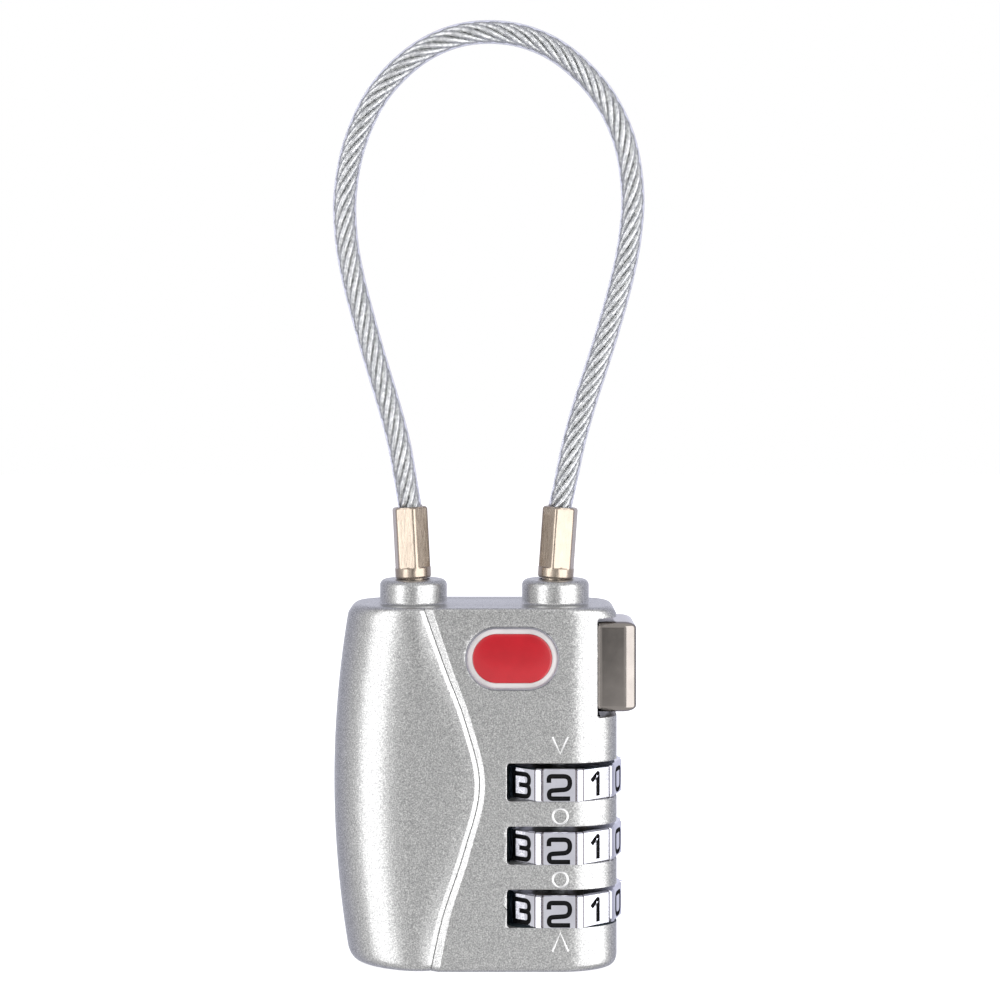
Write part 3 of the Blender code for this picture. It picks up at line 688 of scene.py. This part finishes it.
def oval(grow):
    """A stadium about the badge's centre, this much larger all round than its plate."""
    radius = BADGE_HEIGHT / 2 + grow
    middle = (BADGE_WIDTH - BADGE_HEIGHT) / 2
    outline = []
    for i in range(OVAL_POINTS):
        angle = 2 * math.pi * (i + 0.5) / OVAL_POINTS
        side = middle if math.cos(angle) > 0 else -middle
        outline.append((BADGE_X + side + radius * math.cos(angle), BADGE_Z + radius * math.sin(angle)))
    return outline


def badge_recess():
    front = -CASE_HALF_DEPTH
    return prism("badge_recess", oval(0.25 * MM), front - MM, front + 0.55 * MM, PAINT)


def inlay(name, bands, finish):
    """A closed ring or plate: bands of (grow, y) from its outer foot over its face to its inner end."""
    bm = bmesh.new()
    rings = [[bm.verts.new((x, y, z)) for x, z in oval(grow)] for grow, y in bands]
    bridge(bm, rings)
    if bands[0][0] == bands[-1][0]:
        bmesh.ops.remove_doubles(bm, verts=bm.verts[:], dist=1e-7)
    else:
        bm.faces.new(rings[0])
        bm.faces.new(rings[-1])
    return mesh_object(name, bm, finish)


def badge():
    """A plain oval of red enamel in a pale band, inside a raised silver rim."""
    front = -CASE_HALF_DEPTH
    foot = front + 0.5 * MM
    rim_edge, rim_face = front - 0.02 * MM, front - 0.08 * MM
    rim = inlay("badge_rim", [
        (0.22 * MM, foot), (0.22 * MM, rim_edge), (0.17 * MM, rim_face), (0.05 * MM, rim_face),
        (0.0, rim_edge), (0.0, foot), (0.22 * MM, foot),
    ], CHROME)
    show(smooth(rim, 50), "housing", "polished_nickel")
    band_face, enamel_edge = front + 0.08 * MM, front + 0.14 * MM
    pale = inlay("badge_band", [
        (-0.01 * MM, foot), (-0.01 * MM, front + 0.12 * MM), (-0.06 * MM, band_face),
        (-0.50 * MM, band_face), (-0.54 * MM, enamel_edge), (-0.54 * MM, foot), (-0.01 * MM, foot),
    ], PALE)
    show(smooth(pale, 50), "housing", "badge")
    dome = [(-0.55 * MM, foot), (-0.55 * MM, enamel_edge)]
    dome_reach, dome_rise = 2.3 * MM, 0.12 * MM
    for i in range(1, 10):
        angle = math.radians(10 * i)
        grow = -0.55 * MM - dome_reach * (1 - math.cos(angle))
        dome.append((grow, enamel_edge - dome_rise * math.sin(angle)))
    show(smooth(inlay("badge_enamel", dome, RED), 50), "housing", "badge", "badge_plate")


# ================ index marks

MARK_HALF_WIDTH = 0.84 * MM
MARK_RING_RADIUS = 0.80 * MM
MARK_BAR_RADIUS = 0.15 * MM


def tube_mesh(bm, points, radius, sides=10, closed=False):
    """Adds a round bar along points that lie in a plane of constant y."""
    rings = []
    count = len(points)
    for i, point in enumerate(points):
        before = points[(i - 1) % count if closed else max(i - 1, 0)]
        after = points[(i + 1) % count if closed else min(i + 1, count - 1)]
        along = (Vector(after) - Vector(before)).normalized()
        out = Vector((0, -1, 0))
        across = along.cross(out).normalized()
        ring = []
        for j in range(sides):
            angle = 2 * math.pi * j / sides
            offset = radius * (math.cos(angle) * across + math.sin(angle) * out)
            ring.append(bm.verts.new(Vector(point) + offset))
        rings.append(ring)
    if closed:
        rings.append(rings[0])
    bridge(bm, rings)
    if not closed:
        bm.faces.new(rings[0])
        bm.faces.new(rings[-1])


def index_marks():
    """An arrow above and below the dials and a ring between each two, in line with the digits read."""
    bm = bmesh.new()
    face = -CASE_HALF_DEPTH + 0.02 * MM
    x = DIAL_X + 0.1 * MM
    upper_arrow = (DIAL_Z[2] + 3.3 * MM, DIAL_Z[2] + 5.15 * MM)
    lower_arrow = (DIAL_Z[0] - 2.35 * MM, DIAL_Z[0] - 4.3 * MM)
    for tip, foot in (upper_arrow, lower_arrow):
        corners = [(x - MARK_HALF_WIDTH, face, foot), (x, face, tip), (x + MARK_HALF_WIDTH, face, foot)]
        tube_mesh(bm, corners, MARK_BAR_RADIUS)
    for lower, upper in zip(DIAL_Z, DIAL_Z[1:]):
        middle = (lower + upper) / 2
        turn = [2 * math.pi * i / 40 for i in range(40)]
        radius = MARK_RING_RADIUS
        ring = [(x + radius * math.cos(a), face, middle + radius * math.sin(a)) for a in turn]
        tube_mesh(bm, ring, MARK_BAR_RADIUS, closed=True)
    show(smooth(mesh_object("index_marks", bm, INDEX_SILVER), 60), "housing", "silver_paint")


# ================ dials

DIGITS = 10
FACET = DIAL_RADIUS - 0.41 * MM
RIB_HALF_ANGLE = math.radians(2.5)
RIB_DROP = 0.02 * MM
RIB_GROOVE = 0.16 * MM
STROKE = 0.25 * MM
DIGIT_DROP = 0.12 * MM
# Each digit's strokes, as corners in millimetres from the middle of its facet, before they are rounded
DIGIT_STROKES = {
    0: [[(0, 1.1), (0.88, 1.1), (0.88, -1.2), (-0.88, -1.2), (-0.88, 1.1), (0, 1.1)]],
    1: [[(-0.68, 0.42), (0.16, 1.18), (0.2, 1.16), (0.2, -1.25)]],
    2: [[(-1.12, 0.4), (-1.12, 1.1), (1.13, 1.1), (1.13, -0.3), (-1.1, -0.45), (-1.1, -1.3), (1.16, -1.3)]],
    3: [[(-1.05, 1.12), (1.0, 1.12), (1.0, -0.05), (-0.3, -0.05)],
        [(0.0, -0.05), (1.02, -0.05), (1.02, -1.25), (-1.05, -1.25)]],
    4: [[(0.35, 1.15), (-1.0, -0.5), (1.05, -0.5)], [(0.5, 0.2), (0.5, -1.25)]],
    5: [[(1.0, 1.12), (-0.95, 1.12), (-0.95, 0.08), (1.02, 0.08), (1.02, -1.25), (-1.0, -1.25)]],
    6: [[(0.85, 1.12), (-1.0, 1.12), (-1.0, -1.25), (1.0, -1.25), (1.0, 0.05), (-0.9, 0.05)]],
    7: [[(-1.02, 1.12), (1.02, 1.12), (1.02, 0.65), (-0.15, -0.5), (-0.15, -1.25)]],
    8: [[(0, 1.12), (0.95, 1.12), (0.95, 0.0), (-0.95, 0.0), (-0.95, 1.12), (0, 1.12)],
        [(0, 0.0), (1.02, 0.0), (1.02, -1.25), (-1.02, -1.25), (-1.02, 0.0), (0, 0.0)]],
    9: [[(-0.85, -1.25), (1.0, -1.25), (1.0, 1.12), (-1.0, 1.12), (-1.0, -0.12), (0.9, -0.12)]],
}


def rounded(corners, radius):
    """The path through these corners with each inner one rounded."""
    path = [Vector(corners[0])]
    for before, corner, after in zip(corners, corners[1:], corners[2:]):
        before, corner, after = Vector(before), Vector(corner), Vector(after)
        reach = min(radius, 0.48 * (corner - before).length, 0.48 * (after - corner).length)
        start = corner + (before - corner).normalized() * reach
        stop = corner + (after - corner).normalized() * reach
        for i in range(7):
            t = i / 6
            path.append((1 - t) ** 2 * start + 2 * t * (1 - t) * corner + t**2 * stop)
    path.append(Vector(corners[-1]))
    return path


def dial_radius(angle):
    """The dial's outer radius: ten flats, with a rib between each two and a groove beside each rib."""
    sector = 2 * math.pi / DIGITS
    offset = abs((angle + sector / 2) % sector - sector / 2)
    to_rib = sector / 2 - offset
    if to_rib < RIB_HALF_ANGLE:
        return DIAL_RADIUS - RIB_DROP
    if to_rib < RIB_HALF_ANGLE * 1.6:
        return FACET / math.cos(sector / 2) - RIB_GROOVE
    return FACET / math.cos(offset)


def dial_blank():
    """The ring with its flats and ribs, its middle at the origin and a flat facing the front."""
    sector = 2 * math.pi / DIGITS
    rib = 2 * RIB_HALF_ANGLE / sector
    cuts = [0.0, 0.35, 0.7, *(1 - rib * share for share in (1.65, 1.52, 1.08, 0.92, 0.5)), 1.0]
    shares = [-c for c in reversed(cuts[1:])] + cuts[:-1]
    angles = [sector * k + sector / 2 * share for k in range(DIGITS) for share in shares]
    half = DIAL_HEIGHT / 2
    bore = 3.6 * MM
    bm = bmesh.new()
    rings = []
    rows = (
        (half, 0.2 * MM), (half - 0.09 * MM, 0.06 * MM), (half - 0.15 * MM, 0),
        (0.1 * MM - half, 0), (0.03 * MM - half, 0.03 * MM), (-half, 0.1 * MM),
    )
    for height, inset in rows:
        reaches = [dial_radius(a) - inset for a in angles]
        spots = zip(angles, reaches)
        rings.append([bm.verts.new((out * math.sin(a), -out * math.cos(a), height)) for a, out in spots])
    for height in (-half, half):
        rings.append([bm.verts.new((bore * math.sin(a), -bore * math.cos(a), height)) for a in angles])
    rings.append(rings[0])
    bridge(bm, rings)
    for face in bm.faces:
        middle = face.calc_center_median()
        offset = abs((math.atan2(middle.x, -middle.y) + sector / 2) % sector - sector / 2)
        beside = (sector / 2 - offset) / RIB_HALF_ANGLE
        face.material_index = int(1.02 < beside < 1.62 and middle.xy.length > FACET)
    return mesh_object("dial", bm, CHROME, GROOVE_SHADE)


def digit_cutters():
    """Round black bars along each digit's strokes, half sunk in its facet."""
    found = []
    for digit, strokes in DIGIT_STROKES.items():
        turn = Matrix.Rotation((2 - digit) * 2 * math.pi / DIGITS, 4, "Z")
        for stroke in strokes:
            bm = bmesh.new()
            path = [(x * MM, -FACET, z * MM - DIGIT_DROP) for x, z in rounded(stroke, 0.75)]
            closed = stroke[0] == stroke[-1]
            tube_mesh(bm, path[:-1] if closed else path, STROKE, 10, closed)
            bmesh.ops.transform(bm, matrix=turn, verts=bm.verts[:])
            found.append(mesh_object("stroke", bm, BLACK))
    return found


def dials():
    """Three alike, each with its digits cut in, and black inside the cuts."""
    first = combined(dial_blank(), "DIFFERENCE", digit_cutters())
    smooth(first, 20)
    for number, (name, z) in enumerate(zip(("lower_dial", "middle_dial", "upper_dial"), DIAL_Z), 1):
        dial = first if number == 3 else bpy.data.objects.new("dial", first.data.copy())
        if number != 3:
            bpy.context.scene.collection.objects.link(dial)
        dial.name = f"digit_dial_{number}"
        dial.data.transform(Matrix.Translation((DIAL_X, 0, z)))
        show(dial, name, "dial_chrome", f"dial_{number}")


# ================ button

def release_button():
    """The polished pad with wide soft edges, and the flange and ramp behind it."""
    pad_left = 12.6 * MM
    pad_right = button_high[0]
    pad_foot, pad_top = 27.8 * MM, 37.6 * MM
    stretch = 2.1
    low = (pad_right - (pad_right - pad_left) / stretch, button_low[1], pad_foot)
    high = (pad_right, button_high[1], pad_top)
    button = box("push_button", low, high, NICKEL, 0.68 * MM, 7)
    to_edge = Matrix.Translation((pad_right, 0, 0))
    button.data.transform(to_edge @ Matrix.Diagonal((stretch, 1, 1, 1)) @ to_edge.inverted())
    foot, top = 28.6 * MM, 31.4 * MM
    inner = 12.3 * MM
    arm_end, arm_root, arm_half_depth = 9 * MM, inner + 0.5 * MM, 1.7 * MM
    # Along the ramp the sum of x and height stays the same, a small gap past the spindle's own ramp
    spindle_ramp, ramp_gap = 30.2 * MM, 0.45 * MM
    ramp_sum = DIAL_X + spindle_ramp + ramp_gap
    ramp_top, ramp_foot = (arm_end, ramp_sum - arm_end), (ramp_sum - foot, foot)
    arm = [(arm_root, top), (arm_end, top), ramp_top, ramp_foot, (arm_root, foot)]
    parts = [
        box("flange", (inner, -4 * MM, 28.5 * MM), (13.1 * MM, 4 * MM, 37.2 * MM), NICKEL),
        prism("arm", arm, -arm_half_depth, arm_half_depth, NICKEL),
    ]
    combined(button, "UNION", parts)
    show(even(smooth(button, 30)), "button", "polished_nickel", "release_button")


# ================ ferrules

CRIMP_APOTHEM = 1.80 * MM
CRIMP_CORNER = 2.02 * MM
CRIMP_TURN = (math.radians(-16), math.radians(16))
FERRULE_TOP = 8.0 * MM
FERRULE_EDGE = 0.34 * MM
FERRULE_STEPS = 120


def crimped_radius(angle, turned_by, crimp):
    """The sleeve's radius: round where crimp is 0, six flats with narrow round corners where it is 1."""
    sixth = math.pi / 3
    offset = (angle - turned_by + sixth / 2) % sixth - sixth / 2
    hexagon = min(CRIMP_CORNER, CRIMP_APOTHEM / math.cos(offset))
    return CRIMP_CORNER * 0.985 * (1 - crimp) + hexagon * crimp


def sleeve_rows():
    """The outside of the sleeve and its collar, from the top: (height, how much wider, how far crimped)."""
    rows = []
    for i in range(6):
        angle = math.radians(90 - 18 * i)
        height = FERRULE_TOP - FERRULE_EDGE + FERRULE_EDGE * math.sin(angle)
        rows.append((height, -FERRULE_EDGE * (1 - math.cos(angle)), 1.0 if i > 2 else 0.55))
    rows += [(FERRULE_TOP * share, 0, 1.0) for share in (0.85, 0.65, 0.45, 0.3)]
    rows += [(1.42 * MM, 0, 1.0), (1.32 * MM, 0, 0.75)]
    rows += [(height, 0, 0.0) for height in (1.24 * MM, 0.9 * MM, 0.35 * MM)]
    rows += [(0.12 * MM, -0.12 * MM, 0.0)]
    return rows


def ferrule(side):
    """A sleeve crimped on the cable, with a round collar at its foot and the grooved shank below it."""
    bore = CABLE_DIAMETER / 2 + 0.03 * MM
    mouth = [
        (FERRULE_TOP - IN_FERRULE, bore), (FERRULE_TOP - 0.1 * MM, bore), (FERRULE_TOP, bore + 0.1 * MM),
    ]
    shank = [
        (0.12 * MM, PLUG_RADIUS), (-5.75 * MM, PLUG_RADIUS), (-5.85 * MM, 1.0 * MM), (-7.3 * MM, 1.0 * MM),
        (-7.4 * MM, PLUG_RADIUS), (-9.1 * MM, PLUG_RADIUS), (-9.6 * MM, 1.15 * MM), (-9.8 * MM, 0.6 * MM),
    ]
    turn = [2 * math.pi * i / FERRULE_STEPS for i in range(FERRULE_STEPS)]
    front = -math.pi / 2
    bm = bmesh.new()

    def ring_at(height, radii):
        spots = zip(turn, radii)
        return [bm.verts.new((radius * math.cos(a), radius * math.sin(a), height)) for a, radius in spots]

    rings = [[bm.verts.new((0, 0, mouth[0][0]))]]
    for height, radius in mouth:
        rings.append(ring_at(height, [radius] * FERRULE_STEPS))
    for height, grow, crimp in sleeve_rows():
        radii = [crimped_radius(a - front, CRIMP_TURN[side], crimp) + grow for a in turn]
        rings.append(ring_at(height, radii))
    for height, radius in shank:
        rings.append(ring_at(height, [radius] * FERRULE_STEPS))
    rings.append([bm.verts.new((0, 0, shank[-1][0]))])
    bridge(bm, rings)
    bmesh.ops.transform(bm, matrix=at_boss(side), verts=bm.verts[:])
    name, body_name, node = (
        ("crimped_anchor", "housing", "anchor_ferrule"), ("crimped_plug", "plug", "lock_ferrule"),
    )[side]
    show(smooth(mesh_object(name, bm, CRIMP), 24), body_name, "polished_nickel", node)


# ================ cable

def smooth_route(route, spacing):
    """(points evenly spaced along the smooth curve through the route's own points, its length)."""
    knots = [Vector((x * MM, 0, z * MM)) for x, z in route]
    last = len(knots) - 1
    slopes = []
    for i in range(last + 1):
        slopes.append((knots[min(i + 1, last)] - knots[max(i - 1, 0)]) / (2 if 0 < i < last else 1))
    fine = []
    for i in range(last):
        ends = (knots[i], knots[i] + slopes[i] / 3, knots[i + 1] - slopes[i + 1] / 3, knots[i + 1])
        fine += interpolate_bezier(*ends, 17)[:-1]
    fine.append(knots[-1])
    for end, other in ((0, 1), (-1, -2)):
        outwards = (fine[end] - fine[other]).normalized()
        fine.insert(0 if end == 0 else len(fine), fine[end] + outwards * (IN_FERRULE + 0.3 * MM))
    along = np.concatenate([[0], np.cumsum([(b - a).length for a, b in zip(fine, fine[1:])])])
    count = round(along[-1] / spacing)
    wanted = np.linspace(0, along[-1], count + 1)
    places = np.array(fine)
    return np.stack([np.interp(wanted, along, places[:, axis]) for axis in range(3)], 1), float(along[-1])


def swept(bm, centres, tangents, section):
    """Adds a closed bar along centres. section(i) gives the ring's offsets at point i: (normal, Y)."""
    rings = []
    for i, (centre, tangent) in enumerate(zip(centres, tangents)):
        normal = np.array([tangent[2], 0, -tangent[0]])
        ring = [bm.verts.new(centre + u * normal + v * np.array([0, 1, 0])) for u, v in section(i)]
        rings.append(ring)
    bridge(bm, rings)
    bm.faces.new(rings[0])
    bm.faces.new(rings[-1])


def tangents_of(points):
    step = np.gradient(points, axis=0)
    return step / np.linalg.norm(step, axis=1)[:, None]


def round_section(radius, sides):
    turn = [2 * math.pi * k / sides for k in range(sides)]
    return [(radius * math.cos(a), radius * math.sin(a)) for a in turn]


def cable():
    """A rope of six twisted strands round a core, each lobed like a bundle of wires, in a clear sheath."""
    points, length = smooth_route(CABLE_ROUTE, 0.4 * MM)
    tangents = tangents_of(points)
    along = np.linspace(0, length, len(points))
    strand_radius = ROPE_DIAMETER / 6
    centre_radius = ROPE_DIAMETER / 2 - strand_radius
    normals = np.stack([tangents[:, 2], np.zeros(len(points)), -tangents[:, 0]], 1)
    sideways = np.array([0, 1, 0])
    bm = bmesh.new()
    for strand in range(STRANDS):
        angle = 2 * math.pi * (strand / STRANDS + along / LAY_LENGTH)
        offsets = np.cos(angle)[:, None] * normals + np.sin(angle)[:, None] * sideways
        centres = points + centre_radius * offsets

        def wires(i, angle=angle):
            spin = -2.2 * angle[i]
            ring = []
            for k in range(24):
                around = 2 * math.pi * k / 24
                radius = strand_radius * (1.02 + 0.11 * math.cos(6 * (around - spin)))
                ring.append((radius * math.cos(around), radius * math.sin(around)))
            return ring

        swept(bm, centres, tangents, wires)
    core_ring = round_section(0.55 * centre_radius, 8)
    swept(bm, points, tangents, lambda i: core_ring)
    rope = smooth(mesh_object("wire_rope", bm, WIRE), 60)
    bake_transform(rope)
    skin, length = smooth_route(CABLE_ROUTE, 0.8 * MM)
    bm = bmesh.new()
    skin_ring = round_section(CABLE_DIAMETER / 2, 36)
    swept(bm, skin, tangents_of(skin), lambda i: skin_ring)
    sheath = smooth(mesh_object("cable_sheath", bm, VINYL), 60)
    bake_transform(sheath)
    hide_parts("cable")


# ================ base and back

def key_core():
    """The turned core whose face shows in the base, with its keyway."""
    head, body, neck = 3.1 * MM, 2.65 * MM, 2.2 * MM
    face, top = core_low[2], core_high[2]
    neck_foot, head_top = 15.4 * MM, 1.65 * MM
    profile = [
        (0, top), (body, top), (body, top - 0.4 * MM), (neck, top - 0.4 * MM), (neck, neck_foot),
        (body, neck_foot), (body, head_top), (head, head_top), (head, face + 0.25 * MM),
        (head - 0.07 * MM, face + 0.07 * MM), (head - 0.25 * MM, face), (1.9 * MM, face),
        (1.82 * MM, face + 0.1 * MM), (1.7 * MM, face + 0.12 * MM), (0, face + 0.12 * MM),
    ]
    core = lathe("key_core", profile, BRASS, upright(CORE_X), 72)
    keyway_low = (CORE_X - 0.42 * MM, -1.75 * MM, -MM)
    keyway_high = (CORE_X + 0.42 * MM, 1.75 * MM, 14.4 * MM)
    cutters = [box("keyway", keyway_low, keyway_high, INSIDE_SHADE)]
    for number in (1, 2, 3, 4):
        low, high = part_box(f"wafer_{number}")
        _, z = centre(low, high)
        slot_low = (CORE_X - 1.7 * MM, -3 * MM, z - 0.5 * MM)
        slot_high = (CORE_X + 1.7 * MM, 3 * MM, z + 0.5 * MM)
        cutters.append(box("wafer_slot", slot_low, slot_high, BRASS))
    combined(core, "DIFFERENCE", cutters)
    show(smooth(core, 30), "key_core", "brass", "cylinder_core")


def rivets():
    """Domed heads at the back, each on its shank."""
    head, shank = 1.45 * MM, 0.8 * MM
    for number, (low, high) in enumerate(rivet_boxes, 1):
        face = high[1]
        neck = CASE_HALF_DEPTH - 0.9 * MM
        profile = [
            (0, face - 0.03 * MM), (0.35 * MM, face), (0.8 * MM, face - 0.06 * MM),
            (1.15 * MM, face - 0.18 * MM), (1.38 * MM, face - 0.36 * MM), (head, face - 0.55 * MM),
            (head, neck), (shank, neck),
            (shank, low[1]), (0, low[1]),
        ]
        rivet = lathe(f"rivet_{number}", profile, STEEL, along_y(*centre(low, high)), 48)
        show(smooth(rivet, 40), "housing", "steel", f"cover_rivet_{number}")


def reset_pin():
    """A pin with a dimpled end, a flange that keeps it in, and a thinner shank."""
    face, foot = reset_high[1], reset_low[1]
    dimple = 0.3 * MM
    pin, flange, shank = 1.0 * MM, 1.6 * MM, 0.7 * MM
    flange_inner, flange_outer = 3.5 * MM, 4.1 * MM
    profile = [
        (0, face - dimple), (0.3 * MM, face - 0.8 * dimple), (0.55 * MM, face), (0.85 * MM, face),
        (pin, face - 0.15 * MM), (pin, flange_outer), (flange, flange_outer), (flange, flange_inner),
        (shank, flange_inner), (shank, foot), (0, foot),
    ]
    pin_piece = lathe("reset_button", profile, STEEL, along_y(*centre(reset_low, reset_high)), 48)
    show(smooth(pin_piece, 35), "reset", "steel", "reset_pin")


def finish_inner_pieces():
    """The CAD nodes that stay get the finish of their metal."""
    brass = ("clutch_sleeve_", "cylinder_barrel", "wafer_")
    for name, node in frame["nodes"].items():
        node.data.materials.clear()
        node.data.materials.append(BRASS if name.startswith(brass) else STEEL)


# ================ stage

def stage_paint(name, grey, glow):
    """Matt white that glows a little. Only the camera sees it: light and mirrored rays pass through."""
    made, tree, shader = principled(name, (grey, grey, grey), 0.8, Emission_Strength=glow)
    shader.inputs["Emission Color"].default_value = (1, 1, 1, 1)
    clear = tree.nodes.new("ShaderNodeBsdfTransparent")
    mix = tree.nodes.new("ShaderNodeMixShader")
    tree.links.new(tree.nodes.new("ShaderNodeLightPath").outputs["Is Camera Ray"], mix.inputs["Fac"])
    tree.links.new(clear.outputs[0], mix.inputs[1])
    tree.links.new(shader.outputs[0], mix.inputs[2])
    tree.links.new(mix.outputs[0], tree.nodes["Material Output"].inputs["Surface"])
    return made


def floor():
    bm = bmesh.new()
    front, back, side = -0.15, 1.2, 1.2
    corners = ((-side, front, 0), (side, front, 0), (side, back, 0), (-side, back, 0))
    bm.faces.new([bm.verts.new(corner) for corner in corners])
    obj = mesh_object("floor", bm, stage_paint("floor_white", 0.7, 0.75))
    obj.location.z = -0.02 * MM


def softbox(name, azimuth, elevation, distance, size, strength):
    """An area light that faces the lock's middle. Azimuth 0 is the front, and 90 the right."""
    light = bpy.data.lights.new(name, "AREA")
    light.shape = "RECTANGLE"
    light.size, light.size_y = size
    light.energy = strength * math.pi * size[0] * size[1]
    obj = bpy.data.objects.new(name, light)
    turn, lift = math.radians(azimuth), math.radians(elevation)
    middle = Vector((0, 0, 0.04))
    away = Vector((math.sin(turn) * math.cos(lift), -math.cos(turn) * math.cos(lift), math.sin(lift)))
    obj.location = middle + away * distance
    obj.rotation_euler = (-away).to_track_quat("-Z", "Y").to_euler()
    bpy.context.scene.collection.objects.link(obj)


def world():
    """What the metal mirrors: dim right in front, then pale, and lilac behind. The camera sees white."""
    made = bpy.data.worlds.new("studio")
    bpy.context.scene.world = made
    made.use_nodes = True
    tree = made.node_tree
    tree.nodes.clear()
    facing = tree.nodes.new("ShaderNodeTexCoord").outputs["Generated"]
    split = tree.nodes.new("ShaderNodeSeparateXYZ")
    tree.links.new(facing, split.inputs[0])
    shade = ramp(tree, from_signed(tree, split.outputs["Y"]), [
        (0.0, 0.24), (0.004, 0.30), (0.008, 0.78), (0.42, 0.82),
        (0.6, (0.62, 0.62, 0.70)), (0.8, (0.56, 0.57, 0.67)), (1.0, (0.84, 0.85, 0.98)),
    ])
    seen, light = tree.nodes.new("ShaderNodeBackground"), tree.nodes.new("ShaderNodeBackground")
    seen.inputs["Color"].default_value = (1, 1, 1, 1)
    tree.links.new(shade, light.inputs["Color"])
    mix = tree.nodes.new("ShaderNodeMixShader")
    tree.links.new(tree.nodes.new("ShaderNodeLightPath").outputs["Is Camera Ray"], mix.inputs["Fac"])
    tree.links.new(light.outputs[0], mix.inputs[1])
    tree.links.new(seen.outputs[0], mix.inputs[2])
    out = tree.nodes.new("ShaderNodeOutputWorld")
    tree.links.new(mix.outputs[0], out.inputs["Surface"])


def from_signed(tree, value):
    """-1..1 made 0..1."""
    made = tree.nodes.new("ShaderNodeMapRange")
    made.inputs["From Min"].default_value = -1.0
    made.inputs["From Max"].default_value = 1.0
    tree.links.new(value, made.inputs["Value"])
    return made.outputs["Result"]


def camera():
    """Near, level and a little above the casing, with the picture's middle lower."""
    lens = bpy.data.cameras.new("camera")
    lens.sensor_width = 36
    lens.lens = 74.83
    lens.shift_y = -0.1165
    lens.clip_start = 0.01
    obj = bpy.data.objects.new("camera", lens)
    obj.location = (2.77 * MM, -230 * MM, 63.5 * MM)
    obj.rotation_euler = (math.radians(90), 0, 0)
    bpy.context.scene.collection.objects.link(obj)
    bpy.context.scene.camera = obj


camera()
cable()
finish_inner_pieces()
front_casing()
rear_casing()
badge()
index_marks()
dials()
release_button()
for side in BOTH_SIDES:
    ferrule(side)
key_core()
rivets()
reset_pin()
floor()
world()
softbox("softbox_left", azimuth=-46, elevation=0, distance=0.55, size=(0.29, 0.80), strength=2.15)
softbox("softbox_right", azimuth=46, elevation=0, distance=0.55, size=(0.60, 0.80), strength=2.1)
bpy.context.scene.view_settings.view_transform = "Standard"
